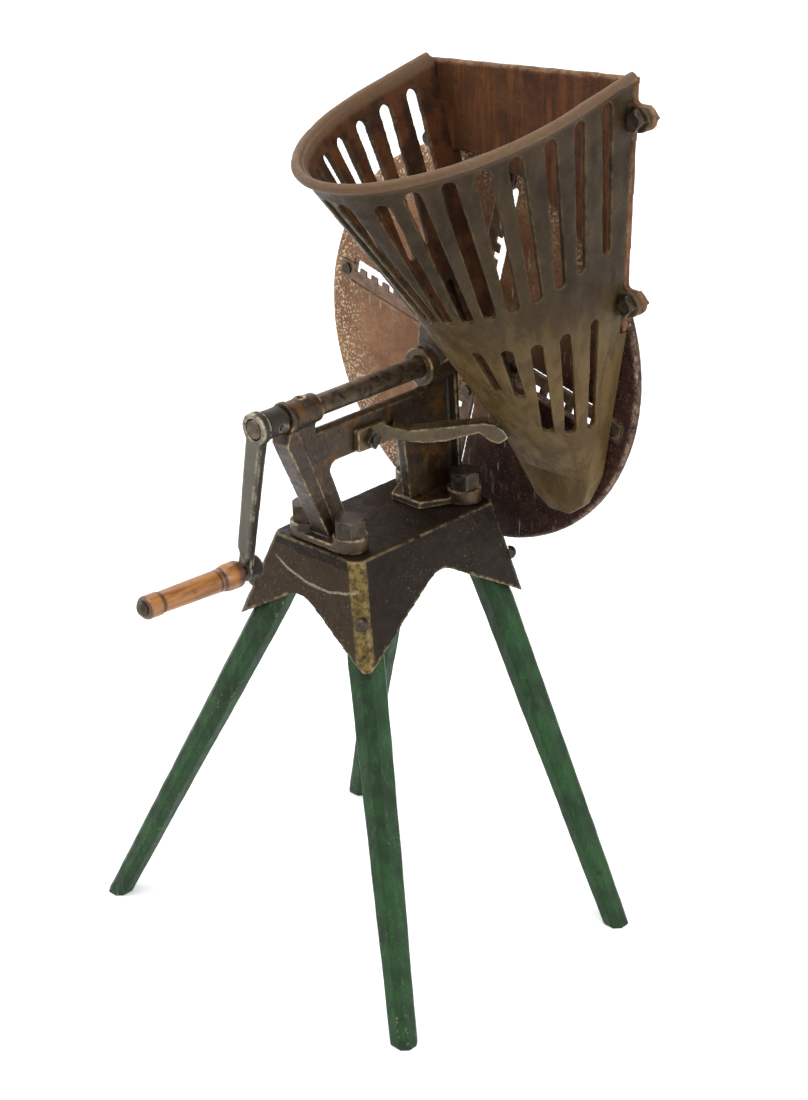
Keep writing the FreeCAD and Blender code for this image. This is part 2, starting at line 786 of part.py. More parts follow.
hex_bolts = []
square_bolts = []
foot_nuts = []
for x, y in bolt_spots:
    sides = 4 if x == "-back_bolt_x" else 6
    head = "hex_flat * 0.85" if sides == 4 else "hex_flat"
    reach = "foot_boss + base_deck + nut_tall + 1.5"
    bolt = sided_bolt("foot_bolt", sides, head, "hex_tall", "bolt", reach)
    spot = {"x": x, "y": y, "z": "base_top + foot_boss"}
    place_piece(bolt, Placement(Vector(), Rotation(Vector(0, 0, 1), 20)), spot)
    (square_bolts if sides == 4 else hex_bolts).append(bolt)
    nut = sided_nut("foot_nut", 4, "hex_flat * 0.9", "nut_tall", "bolt")
    spot = {"x": x, "y": y, "z": "base_top - base_deck"}
    foot_nuts.append(place_piece(nut, Placement(Vector(), Rotation(Vector(0, 0, 1), 45)), spot))
group("frame_bolts", hex_bolts)
group("frame_square_bolt", square_bolts)
group("frame_nuts", foot_nuts)

# Support arm
# Swan-necked casting from the beam to the hopper's lower nose. Its side view lies in an
# upright plane turned from X by arm_turn; its root plate is bolted flat on the beam's web.

arm = new_body("support_arm")
plate_low, plate_high = "beam_low + arm_tall * 0.12", "beam_high - arm_tall * 0.6"
plate_end, plate_start = "arm_root_y * 1.5", "arm_root_y * 1.5 - arm_plate_long"
plate_face = outline(arm, "YZ_Plane", [(plate_start, plate_low), (plate_end, plate_low),
                                       (plate_end, plate_high), (plate_start, plate_high)], "web_thick / 2")
pad(arm, plate_face, "arm_plate")
turned = Placement(Vector(number("arm_root_x"), 0, number("arm_root_y")),
                   Rotation(Vector(0, 1, 0), number("arm_turn")))


def neck_point(along, up, *bulge):
    """Corner of the arm's side view, in shares of its length and of its height."""
    return (f"arm_long * {along}", f"arm_bolt_z + arm_tall * {up}") + bulge


under = [neck_point(0.1, -0.5), neck_point(0.23, -0.68, "arm_long", -1), neck_point(0.5, -0.67)]
over = [neck_point(0.5, 0.2), neck_point(0.22, 0.04), neck_point(0.09, 0.3)]
root = [neck_point(0, 0.52), neck_point(0, -0.76)]
claw = [neck_point(0.76, -0.22), neck_point(0.835, -0.66), neck_point(0.9, -0.9, "arm_long * 0.13", -1),
        neck_point(0.99, -0.5), neck_point(0.95, -0.03), neck_point(0.885, 0.28), neck_point(0.8, 0.4)]
pad(arm, outline(arm, "XZ_Plane", under + claw + over + root, turn=turned), "arm_edge_thick", back=True)
stub = [neck_point(0.76, -0.22), neck_point(0.835, -0.66), neck_point(0.855, 0.3), neck_point(0.8, 0.4)]
pad(arm, outline(arm, "XZ_Plane", under + stub + over, turn=turned), "arm_thick", back=True)
pocket(arm, circles(arm, "YZ_Plane", [("-arm_bolt_y", "arm_bolt_z", "arm_bolt")]))
stand_at(arm)
keep(arm)

out_right = Rotation(Vector(0, 0, 1), Vector(1, 0, 0))
out_left = Rotation(Vector(0, 0, 1), Vector(-1, 0, 0))
arm_bolt = sided_bolt("arm_bolt_part", 6, "arm_bolt * 1.9", "arm_bolt * 1.3", "arm_bolt",
                      "web_thick + arm_plate + arm_bolt * 2")
place_piece(arm_bolt, Placement(Vector(), out_left),
            {"x": "-web_thick / 2", "y": "-arm_bolt_y", "z": "arm_bolt_z"})
group("arm_bolt", [arm_bolt])
arm_nut = sided_nut("arm_nut_part", 4, "arm_bolt * 1.5", "arm_bolt * 1.5", "arm_bolt")
place_piece(arm_nut, Placement(Vector(), out_left),
            {"x": "web_thick / 2 + arm_plate", "y": "-arm_bolt_y", "z": "arm_bolt_z"})
group("arm_nut", [arm_nut])


# Hopper shell
# Half cone open at the top: every section is a straight wall from the back plane, half
# an ellipse round the nose, and a straight wall back. The key sections are the rim
# (tilted down towards the nose and the left), the waist, the throat, the chin and the tip.

def half_round(section, first, last):
    """Part of an ellipse from the right wall round the nose to the left wall. An arc of
    the unit circle is stretched to the section's half width and reach and sheared by its
    tilt and cant."""
    half, reach, middle, turn_y = section.measures()
    angle = [first * math.pi, (first + last) / 2 * math.pi, last * math.pi]
    unit = Part.Arc(*[Vector(math.cos(a), -math.sin(a), 0) for a in angle]).toShape()
    shape = Matrix(half, 0, 0, middle, 0, reach, 0, turn_y,
                   half * section.cant, reach * section.tilt, 1, section.lift(middle, turn_y), 0, 0, 0, 1)
    return unit.transformGeometry(shape).Edges[0]


class Section:
    """One section of the shell, set in by a wall where that is asked for."""

    def __init__(self, name, inset=0.0, back=None):
        self.left = number(f"{name}_left") * (-1 if name == "rim" else 1) + inset
        self.right = number(f"{name}_right") - inset
        self.nose = number(f"{name}_nose") * (-1 if name in ("rim", "waist") else 1) + inset * 1.25
        self.high = number(f"{name}_high")
        self.tilt = number("rim_slope") if name == "rim" else 0.0
        self.cant = number("rim_cant") if name == "rim" else 0.0
        self.seat = number("hopper_back")
        self.back = self.seat if back is None else back

    def measures(self):
        """Half width, depth of the round part, middle, and where the round part starts."""
        half, middle = (self.right - self.left) / 2, (self.right + self.left) / 2
        turn_y = self.seat - number("side_share") * (self.seat - self.nose)
        return half, turn_y - self.nose, middle, turn_y

    def lift(self, x, y):
        middle = (self.right + self.left) / 2
        return self.high + self.tilt * (y - self.seat) + self.cant * (x - middle)

    def point(self, travel):
        """Point on the outline at a distance from its right back corner, with the
        round part's length taken by Ramanujan's formula for an ellipse."""
        half, reach, middle, turn_y = self.measures()
        straight = self.seat - turn_y
        if travel <= straight:
            y = self.seat - travel
            return Vector(self.right, y, self.lift(self.right, y))
        round_long = self.round_length()
        if travel >= straight + round_long:
            y = turn_y + travel - straight - round_long
            return Vector(self.left, y, self.lift(self.left, y))
        steps = 400
        walked, angle, last = straight, 0.0, Vector(half, 0, 0)
        while walked < travel:
            angle += math.pi / steps
            spot = Vector(half * math.cos(angle), -reach * math.sin(angle), 0)
            walked += (spot - last).Length
            last = spot
        x, y = middle + last.x, turn_y + last.y
        return Vector(x, y, self.lift(x, y))

    def round_length(self):
        half, reach, _, _ = self.measures()
        return math.pi / 2 * (3 * (half + reach) - math.sqrt((3 * half + reach) * (half + 3 * reach)))

    def length(self):
        _, _, _, turn_y = self.measures()
        return 2 * (self.seat - turn_y) + self.round_length()

    def wire(self):
        """Closed outline: right wall, round nose in two arcs, left wall, back line."""
        turn_y = self.measures()[3]
        arcs = [half_round(self, a, a + 0.5) for a in (0, 0.5)]
        right_back, left_back, right_turn, left_turn = [
            Vector(x, y, self.lift(x, y)) for y in (self.back, turn_y) for x in (self.right, self.left)]
        return Part.Wire([Part.makeLine(right_back, right_turn)] + arcs
                         + [Part.makeLine(left_turn, left_back), Part.makeLine(left_back, right_back)])


wall = number("hopper_wall")
shell_back = number("disc_front - disc_gap")
outer = [Section(name, back=shell_back) for name in ("rim", "waist", "throat", "chin", "tip")]
outer_solid = Part.makeLoft([s.wire() for s in outer], True, True)
past_back = shell_back + 2
inner = [Section(name, wall, past_back) for name in ("rim", "waist", "throat", "chin")]
inner[3].nose = shell_back - 0.6 * wall
above = Section("rim", wall, past_back)
rise = 0.12
above.high += rise * (inner[0].high - inner[1].high)
above.left += rise * (inner[0].left - inner[1].left)
above.right += rise * (inner[0].right - inner[1].right)
above.nose += rise * (inner[0].nose - inner[1].nose)
inner_solid = Part.makeLoft([s.wire() for s in [above] + inner], True, True)
shell = outer_solid.cut(inner_solid)

# Rolled bead along the rim
rim = outer[0]
bead_radius = number("rim_bead")
turn_y = rim.measures()[3]
path_back = rim.seat - bead_radius * 0.5
bead_start, bead_turn, bead_return, bead_stop = [
    Vector(x, y, rim.lift(x, y)) for x, y in ((rim.right, path_back), (rim.right, turn_y),
                                              (rim.left, turn_y), (rim.left, path_back))]
path = Part.Wire([Part.makeLine(bead_start, bead_turn), half_round(rim, 0, 0.5), half_round(rim, 0.5, 1),
                  Part.makeLine(bead_return, bead_stop)])
bead_round = Part.Wire([Part.makeCircle(bead_radius, bead_start, Vector(0, -1, -rim.tilt))])
bead_solid = path.makePipeShell([bead_round], True, False)
shell = shell.fuse(bead_solid)


# Ears on the back edge, where bolts clamp the shell to its back plate
def wall_x(side, height):
    """The shell's side wall at the back plane, at a height between waist and rim."""
    rim_end = number("rim_right_high" if side > 0 else "rim_left_high")
    share = (height - number("waist_high")) / (rim_end - number("waist_high"))
    waist, top = (outer[1].right, outer[0].right) if side > 0 else (outer[1].left, outer[0].left)
    return waist + (top - waist) * share


ear_spots = [(1, "ear_upper"), (1, "ear_lower"), (-1, "left_ear_upper"), (-1, "left_ear_lower")]


def ear_centre(side, height_name):
    high = number(height_name)
    return wall_x(side, high) + side * number("ear_out"), high


def ear_blank(side, height_name, start_y, thick):
    """Round ear with a root that runs into the wall."""
    x, z = ear_centre(side, height_name)
    radius = number("ear")
    disc = Part.makeCylinder(radius, thick, Vector(x, start_y, z), Vector(0, 1, 0))
    root_x = wall_x(side, z) - side * number("hopper_wall")
    root = Part.makeBox(abs(x - root_x), thick, 2 * radius, Vector(min(x, root_x), start_y, z - radius))
    return disc.fuse(root)


def ear_hole(side, height_name):
    x, z = ear_centre(side, height_name)
    reach = number("ear_thick") * 3
    return Part.makeCylinder(number("ear_bolt"), 2 * reach, Vector(x, number("hopper_back") - reach, z),
                             Vector(0, 1, 0))


ear_front = number("hopper_back - ear_thick")
for spot in ear_spots:
    shell = shell.fuse(ear_blank(*spot, ear_front, number("ear_thick")))
# The inside stays clear of the ears' roots
shell = shell.cut(inner_solid)

# Seat of the back plate: above these heights the shell ends at the plate's face
seat_y = number("hopper_back")
far = 2 * (rim.right - rim.left)
middle = (rim.right + rim.left) / 2
right_room = Part.makeBox(far, far, far, Vector(middle, seat_y, number("plate_right_low")))
left_room = Part.makeBox(far, far, far, Vector(middle - far, seat_y, number("plate_left_low")))
shell = shell.cut(right_room.fuse(left_room))


# Slots: tapered, round-ended, each along a line of the cone
def slot_tool(top, low, outward, top_half, low_half):
    """Round-ended tapered prism from top to low, through the wall along outward."""
    along = (low - top).normalize()
    across = along.cross(outward).normalize()
    through = across.cross(along).normalize()
    long = (low - top).Length
    lean = math.asin((top_half - low_half) / long)
    side = Vector(math.sin(lean), math.cos(lean), 0)
    mirror = Vector(side.x, -side.y, 0)
    low_end = Vector(long, 0, 0)
    edges = [
        Part.Arc(mirror * top_half, Vector(-top_half, 0, 0), side * top_half).toShape(),
        Part.makeLine(side * top_half, low_end + side * low_half),
        Part.Arc(low_end + side * low_half, low_end + Vector(low_half, 0, 0),
                 low_end + mirror * low_half).toShape(),
        Part.makeLine(low_end + mirror * low_half, mirror * top_half),
    ]
    deep = 7 * wall
    blank = Part.Face(Part.Wire(edges)).extrude(Vector(0, 0, deep))
    blank.translate(Vector(0, 0, -deep / 2))
    frame_of_slot = Matrix(along.x, across.x, through.x, top.x, along.y, across.y, through.y, top.y,
                           along.z, across.z, through.z, top.z, 0, 0, 0, 1)
    return blank.transformShape(frame_of_slot)


def spread(names, count, room):
    """Distances from a corner: the named steps one after another, the last but one
    repeated up to the count, all drawn to fill the room."""
    steps = [number(name) for name in names]
    if len(steps) < count:
        steps = steps[:-1] + [steps[-2]] * (count - len(steps)) + steps[-1:]
    places = [sum(steps[:index + 1]) for index in range(count)]
    return [place * room / places[-1] for place in places]


def cut_slot(body, upper, lower, high_travel, low_travel, start, stop, halves):
    """Slot along the line of the wall between two sections, from one height to another."""
    a, b = upper.point(high_travel), lower.point(low_travel)
    top = a + (b - a) * ((a.z - start(a)) / (a.z - b.z))
    low = a + (b - a) * ((a.z - stop(a)) / (a.z - b.z))
    around = upper.point(high_travel + 1) - upper.point(high_travel - 1)
    outward = around.cross(b - a).normalize()
    return body.cut(slot_tool(top, low, outward, *[number(half) for half in halves]))


# The tall slots: eight on each side of one in the middle of the nose
side_count = 8
rim_long, waist_long = outer[0].length(), outer[1].length()
near_tops = spread(["slot_inset"] + ["slot_pitch_side"] * 3 + ["slot_pitch_nose"] * 4 + ["slot_pitch_last"],
                   side_count + 1, rim_long / 2)
far_tops = spread(["slot_inset"] + ["slot_pitch_far"] * 7 + ["slot_pitch_far_last"], side_count + 1,
                  rim_long / 2)
feet = spread(["slot_foot_inset", "slot_foot_first"] + ["slot_foot_pitch"] * 6 + ["slot_foot_last"],
              side_count + 1, waist_long / 2)
tall_slots = [(top, low, "slot_drop") for top, low in zip(near_tops[:7], feet[:7])]
tall_slots += [(top, low, "slot_drop_far") for top, low in zip(near_tops[7:], feet[7:])]
tall_slots += [(rim_long - top, waist_long - low, "slot_drop_far")
               for top, low in zip(far_tops[:-1], feet[:-1])]
for high_travel, low_travel, drop in tall_slots:
    shell = cut_slot(shell, outer[0], outer[1], high_travel, low_travel, lambda a: a.z - number(drop),
                     lambda a: a.z - number("slot_reach"), ("slot_top_half", "slot_low_half"))

# The short slots below the waist: five on the right, three on the left, each starting
# a step lower than the one before it
low_long = outer[2].length()
low_tops = ["low_slot_inset", "low_slot_first", "low_slot_pitch", "low_slot_pitch", "low_slot_last"]
low_feet = ["low_foot_inset", "low_foot_first", "low_foot_pitch", "low_foot_last"]
for index in range(5):
    high_travel = sum(number(name) for name in low_tops[:index + 1])
    low_travel = sum(number(name) for name in low_feet[:index + 1])
    reach = "low_slot_long" if index < 3 else "low_slot_short"
    sides = [(high_travel, low_travel)]
    if index < 3:
        sides.append((waist_long - high_travel, low_long - low_travel))
    for high_place, low_place in sides:
        shell = cut_slot(shell, outer[1], outer[2], high_place, low_place,
                         lambda a: number(f"low_slot_start - low_slot_step * {index}"),
                         lambda a: number(f"waist_high - {reach}"),
                         ("low_slot_top_half", "low_slot_low_half"))

# Bolt holes: four in the ears, one for the horn
for spot in ear_spots:
    shell = shell.cut(ear_hole(*spot))
horn_spot = Vector(number(shell_left("horn_bolt_z")), number(horn_bolt_y), number("horn_bolt_z"))
shell = shell.cut(Part.makeCylinder(number("arm_bolt"), 8 * wall, horn_spot + Vector(4 * wall, 0, 0),
                                    Vector(-1, 0, 0)))
hopper = doc.addObject("Part::Feature", "hopper_shell")
hopper.Shape = shell.removeSplitter()
stand_at(hopper)
keep(hopper, "hopper_shell")

# Back plate of the hopper
# Flat casting above the disc: straight top, walls' outline at the sides, an arc below.

plate = new_body("hopper_back_plate")


def wall_line(side, height):
    """Formula of the shell's outer wall at the back plane."""
    if side > 0:
        share = f"({height} - waist_high) / (rim_right_high - waist_high)"
        return f"(waist_right + (rim_right - waist_right) * {share})"
    return shell_left(height)


arc_left_x = wall_line(-1, "plate_left_low")
arc_left = f"(shaft_height + sqrt(plate_arc^2 - {arc_left_x}^2))"
right_low_x = wall_line(1, "plate_right_low")
plate_outline = [
    ("-rim_left - plate_over", "rim_left_high - plate_top_drop"),
    (arc_left_x, arc_left, "plate_arc", 1),
    ("plate_arc * cos(24)", "shaft_height + plate_arc * sin(24)"),
    (right_low_x, "plate_right_low"),
    ("rim_right", "rim_right_high - plate_top_drop"),
]
pad(plate, outline(plate, "XZ_Plane", plate_outline, "-hopper_back"), "plate_thick", back=True)
for side, height_name in ear_spots:
    sign = "+" if side > 0 else "-"
    x = f"({wall_line(side, height_name)} {sign} ear_out)"
    wall_at = wall_line(side, height_name)
    root_x = f"{wall_at} {'-' if side > 0 else '+'} ear / 4"
    box = [(root_x, f"{height_name} - ear"), (x, f"{height_name} - ear"),
           (x, f"{height_name} + ear"), (root_x, f"{height_name} + ear")]
    pad(plate, outline(plate, "XZ_Plane", box, "-hopper_back"), "plate_thick", back=True)
    pad(plate, circles(plate, "XZ_Plane", [(x, height_name, "ear")], "-hopper_back"), "plate_thick",
        back=True)
    pocket(plate, circles(plate, "XZ_Plane", [(x, height_name, "ear_bolt")]))
stand_at(plate)
keep(plate)

# Bolts of the ears: square heads in front, square nuts behind the plate
ear_bolts = []
ear_nuts = []
for side, height_name in ear_spots:
    x = f"({wall_line(side, height_name)} {'+' if side > 0 else '-'} ear_out)"
    bolt = sided_bolt("ear_bolt_part", 4, "ear_head / 2", "ear_head_tall", "ear_bolt",
                      "ear_thick + plate_thick + ear_nut_tall")
    place_piece(bolt, Placement(Vector(), Rotation(Vector(0, 0, 1), Vector(0, -1, 0))),
                {"x": x, "y": "hopper_back - ear_thick", "z": height_name})
    ear_bolts.append(bolt)
    nut = sided_nut("ear_nut_part", 4, "ear_head / 2", "ear_nut_tall", "ear_bolt")
    place_piece(nut, Placement(Vector(), Rotation(Vector(0, 0, 1), Vector(0, -1, 0))),
                {"x": x, "y": "hopper_back + plate_thick", "z": height_name})
    ear_nuts.append(nut)
group("hopper_bolts", ear_bolts)
group("hopper_nuts", ear_nuts)

# Bolt that holds the horn to the shell, its nut inside the hopper
horn_bolt = sided_bolt("horn_bolt_part", 4, "arm_bolt * 1.5", "arm_bolt * 1.3", "arm_bolt",
                       "horn_thick + hopper_wall + arm_bolt * 2.9")
place_piece(horn_bolt, Placement(Vector(), out_left),
            {"x": shell_left("horn_bolt_z") + " - horn_thick - arm_bolt * 1.15", "y": horn_bolt_y,
             "z": "horn_bolt_z"})
group("horn_bolt", [horn_bolt])

# Shaft
# Plain round bar, riveted over in the crank's hub and threaded under the disc's nut.

shaft = new_body("shaft")
shaft_half = [
    ("-shaft_front", "0"), ("-shaft_front", "shaft - 0.8"), ("-shaft_front + 0.8", "shaft"),
    ("shaft_back - 1", "shaft"), ("shaft_back", "shaft - 1"), ("shaft_back", "0"),
]
revolve(shaft, outline(shaft, "YZ_Plane", shaft_half))
pocket(shaft, circles(shaft, "YZ_Plane", [("-hub_pin_y", "0", "hub_pin")]))
stand_at(shaft, z="shaft_height", turn=Rotation(Vector(0, 1, 0), number("crank_hang")))
keep(shaft)

# Cutter disc
# Cast wheel with a flat front face, a hub, four ribs behind, and four throats for the
# knives.

disc = new_body("cutter_disc")
disc_half = [
    ("disc_hub_front", "shaft"), ("disc_hub_front", "disc_hub - 1"), ("disc_hub_front + 1", "disc_hub"),
    ("disc_front", "disc_hub"), ("disc_front", "disc_radius - 1.2", "1.2", 1),
    ("disc_front + 1.2", "disc_radius"), ("disc_front + disc_thick - 1", "disc_radius"),
    ("disc_front + disc_thick", "disc_radius - 1"), ("disc_front + disc_thick", "disc_hub + 3"),
    ("disc_hub_back", "disc_hub - 1"), ("disc_hub_back", "shaft"),
]
revolve(disc, outline(disc, "YZ_Plane", disc_half))
rib_end = "disc_radius - rim_band"
rib = outline(disc, "XZ_Plane", [("disc_hub - 1", "-rib_wide / 2"), (rib_end, "-rib_wide / 2"),
                                 (rib_end, "rib_wide / 2"), ("disc_hub - 1", "rib_wide / 2")],
              "-(disc_front + disc_thick - 0.5)",
              turn=Placement(Vector(), Rotation(Vector(0, 0, 1), 45)))
first_rib = pad(disc, rib, "rib_tall", back=True)


def ring_of(body, feature, count, way):
    """Repeat a feature round the shaft's line."""
    pattern = body.newObject("PartDesign::PolarPattern", body.Name + "_ring")
    pattern.Originals = [feature]
    axis = [o for o in body.Origin.OriginFeatures if o.Role == "Y_Axis"][0]
    pattern.Axis = (axis, [""])
    pattern.Angle = 360
    pattern.Occurrences = count
    return settle(body, pattern, way)


ring_of(disc, first_rib, 4, 1)
# The throat: from the slit behind the knife's heel to the far edge past its teeth
throat_low, throat_high = "(-throat_wide / 2)", "(throat_wide / 2)"
throat = outline(disc, "XZ_Plane", [("throat_inner", throat_low), ("throat_outer", throat_low),
                                    ("throat_outer", throat_high), ("throat_inner", throat_high)],
                 "-(disc_front + disc_thick / 2)")
first_throat = pocket(disc, throat, "disc_thick * 3", both=True)
ring_of(disc, first_throat, 4, -1)
# Shallow seats that take the knife's two ends flush with the face
heel = "(throat_wide / 2 - knife_slit)"
edge = f"({heel} - knife_wide)"
seat_in, seat_out = "knife_inner - seat_gap", "knife_outer + seat_gap"
seat_low, seat_high = f"{edge} - seat_gap", f"{heel} + seat_gap"
seat = outline(disc, "XZ_Plane", [(seat_in, seat_low), (seat_out, seat_low), (seat_out, seat_high),
                                  (seat_in, seat_high)],
               "-(disc_front - 1)")
first_seat = pocket(disc, seat, "knife_thick + 1")
ring_of(disc, first_seat, 4, -1)
screw_radii = ["(knife_inner + throat_inner) / 2", "(knife_outer + throat_outer) / 2"]
screw_line = f"({heel} - knife_wide / 2)"
screw_holes = circles(disc, "XZ_Plane", [(r, screw_line, "knife_screw") for r in screw_radii],
                      "-(disc_front + disc_thick / 2)")
first_holes = pocket(disc, screw_holes, "disc_thick * 5", both=True)
ring_of(disc, first_holes, 4, -1)
stand_at(disc, z="shaft_height", turn=Rotation(Vector(0, 1, 0), number("knife_turn")))
keep(disc)

# Knives
# Flat blade with square-cut teeth along its leading edge, raised a little at the teeth,
# its two ends let into the disc and screwed down.

knife_count = 4
knife_screws = []
for index in range(knife_count):
    knife = new_body(f"knife_{index + 1}")
    blade = outline(knife, "YZ_Plane", [("disc_front", heel), ("disc_front - knife_rise", edge),
                                        ("disc_front - knife_rise + knife_thick * 0.5", edge),
                                        ("disc_front + knife_thick", heel)], "throat_inner + seat_gap")
    pad(knife, blade, "throat_outer - throat_inner - 2 * seat_gap")
    for start, stop in (("knife_inner", "throat_inner + knife_lap"),
                        ("throat_outer - knife_lap", "knife_outer")):
        tab = outline(knife, "XZ_Plane", [(start, edge), (stop, edge), (stop, heel), (start, heel)],
                      "-disc_front")
        pad(knife, tab, "knife_thick", back=True)
    gap_in, gap_out = "throat_inner + tooth_start", "throat_inner + tooth_start + tooth_gap"
    notch = outline(knife, "XZ_Plane", [(gap_in, f"{edge} - knife_lap"), (gap_out, f"{edge} - knife_lap"),
                                        (gap_out, f"{edge} + tooth_deep"), (gap_in, f"{edge} + tooth_deep")],
                    "-disc_front")
    first_notch = pocket(knife, notch, "knife_thick * 5", both=True)
    row = knife.newObject("PartDesign::LinearPattern", knife.Name + "_teeth")
    row.Originals = [first_notch]
    axis = [o for o in knife.Origin.OriginFeatures if o.Role == "X_Axis"][0]
    row.Direction = (axis, [""])
    row.Occurrences = int(number("tooth_count"))
    row.Length = number("tooth_pitch * (tooth_count - 1)")
    row.setExpression("Length", bound("tooth_pitch * (tooth_count - 1)"))
    settle(knife, row, -1)
    pocket(knife, circles(knife, "XZ_Plane", [(r, screw_line, "knife_screw") for r in screw_radii],
                          "-(disc_front + disc_thick / 2)"))
    spin = Rotation(Vector(0, 1, 0), number("knife_turn") - 360 / knife_count * index)
    stand_at(knife, z="shaft_height", turn=spin)
    keep(knife)
    for radius in screw_radii:
        head = primitive("Part::Cylinder", "knife_screw_head", Radius="knife_screw_head",
                         Height="knife_screw_tall")
        down = Placement(Vector(), Rotation(Vector(1, 0, 0), 180))
        stem = primitive("Part::Cylinder", "knife_screw_stem", down, Radius="knife_screw",
                         Height="disc_thick + knife_screw_tall / 2")
        screw = joined("knife_screw_part", "Part::Fuse", head, stem)
        local = Vector(number(radius), number("disc_front"), number(screw_line))
        lift = Vector(0, 0, number("shaft_height"))
        place_piece(screw, Placement(spin.multVec(local) + lift,
                                     spin.multiply(Rotation(Vector(0, 0, 1), Vector(0, -1, 0)))))
        knife_screws.append(screw)
group("knife_screws", knife_screws)

# Washer and nut behind the disc
disc_washer = new_body("disc_washer")
along_shaft(disc_washer, "washer", "disc_hub_back", "washer_thick", up="0")
pocket(disc_washer, circles(disc_washer, "XZ_Plane", [("0", "0", "shaft")]))
stand_at(disc_washer, z="shaft_height")
keep(disc_washer)
disc_nut = sided_nut("disc_nut_part", 4, "disc_nut_flat", "disc_nut_tall", "shaft")
place_piece(disc_nut, Placement(Vector(), Rotation(Vector(0, 0, 1), Vector(0, -1, 0))),
            {"y": "disc_hub_back + washer_thick", "z": "shaft_height"})
group("disc_nut", [disc_nut])

# Crank
# Hub and tapered arm in one casting; the arm hangs down, swung a little to the left.

crank = new_body("crank_arm")
arm_face = [
    ("crank_top_wide / 2", "0"), ("-crank_top_wide / 2", "0"),
    ("-crank_low_wide / 2", "-crank_throw + crank_end * 3"),
    ("crank_low_wide * 0.1", "-crank_throw + crank_end"),
    ("crank_low_wide / 2", "-crank_throw + crank_end * 2.4"),
]
pad(crank, outline(crank, "XZ_Plane", arm_face, "shaft_front"), "crank_thick", back=True)
round_edges(crank, "crank_bevel", lambda e: abs(e.BoundBox.YMin + number("shaft_front")) < 1e-3
            and abs(e.BoundBox.YMax + number("shaft_front")) < 1e-3
            and e.BoundBox.ZMin < -number("crank_head"), "PartDesign::Chamfer")
along_shaft(crank, "crank_head", "-shaft_front", "crank_thick", up="0")
along_shaft(crank, "crank_hub", "-shaft_front", "crank_hub_long", up="0")
tongue_top = "-crank_throw + crank_end * 4"
tongue = [("crank_low_wide / 2", tongue_top), ("-crank_low_wide / 2", tongue_top),
          ("-crank_low_wide / 2", "-crank_throw"), ("crank_low_wide / 2", "-crank_throw")]
pad(crank, outline(crank, "XZ_Plane", tongue, "shaft_front - crank_thick / 2"), "crank_thick / 2", back=True)
along_shaft(crank, "crank_boss", "-shaft_front + crank_thick / 2", "crank_boss_long + crank_thick / 2",
            up="-crank_throw")
pocket(crank, circles(crank, "XZ_Plane", [("0", "0", "shaft")]))
lean = Rotation(Vector(1, 0, 0), -number("handle_lean"))
along_pin = Rotation(Vector(0, 0, 1), Vector(0, 1, 0))
pin_hole = crank.newObject("PartDesign::SubtractiveCylinder", "crank_pin_hole")
pin_hole.Radius = number("handle_pin")
pin_hole.setExpression("Radius", bound("handle_pin"))
pin_hole.Height = number("handle_long")
pin_hole.setExpression("Height", bound("handle_long"))
pin_hole.Placement = Placement(Vector(0, -number("shaft_front"), -number("crank_throw")), lean).multiply(
    Placement(Vector(0, -number("handle_long") / 2, 0), along_pin))
settle(crank, pin_hole, -1)
pocket(crank, circles(crank, "YZ_Plane", [("-hub_pin_y", "0", "hub_pin")]))
hang = Rotation(Vector(0, 1, 0), number("crank_hang"))
stand_at(crank, z="shaft_height", turn=hang)
keep(crank)

# Taper pin through hub and shaft
hub_pin = primitive("Part::Cylinder", "crank_hub_pin", Radius="hub_pin", Height="crank_hub * 2 + 1")
pin_end = hang.multVec(Vector(-number("crank_hub + 0.5"), 0, 0))
pin_set = Vector(number("stand_x"), number("stand_y - hub_pin_y"), number("shaft_height"))
hub_pin.Placement = Placement(pin_end + pin_set, hang.multiply(out_right))
keep(hub_pin, "crank_hub_pin")

# Handle pin, riveted behind the arm, with its head at the outer end of the grip
handle_start = "-handle_gap"
handle_stop = "(-handle_gap - handle_long)"
handle_pin = new_body("handle_pin")
pin_half = [
    ("crank_thick + crank_boss_long + 1", "0"),
    ("crank_thick + crank_boss_long + 1", "handle_pin * 0.7"),
    ("crank_thick + crank_boss_long", "handle_pin"),
    (f"{handle_stop} - seat_gap", "handle_pin"), (f"{handle_stop} - seat_gap", "handle_pin_head"),
    (f"{handle_stop} - handle_pin_head * 0.35", "handle_pin_head"),
    (f"{handle_stop} - handle_pin_head * 0.65", "handle_pin_head * 0.55"),
    (f"{handle_stop} - handle_pin_head * 0.65", "0"),
]
revolve(handle_pin, outline(handle_pin, "YZ_Plane", pin_half))
pin_offset = hang.multVec(Vector(0, 0, -number("crank_throw")))
pin_turn = hang.multiply(lean)
stand_at(handle_pin, x=f"{pin_offset.x}", y="-shaft_front", z=f"shaft_height + {pin_offset.z}", turn=pin_turn)
keep(handle_pin)
pin_way = pin_turn.multVec(Vector(0, 1, 0))
print("handle joint at", pin_offset.x + number("stand_x"), number("stand_y - shaft_front"),
      pin_offset.z + number("shaft_height"), "axis", pin_way.x, pin_way.y, pin_way.z)

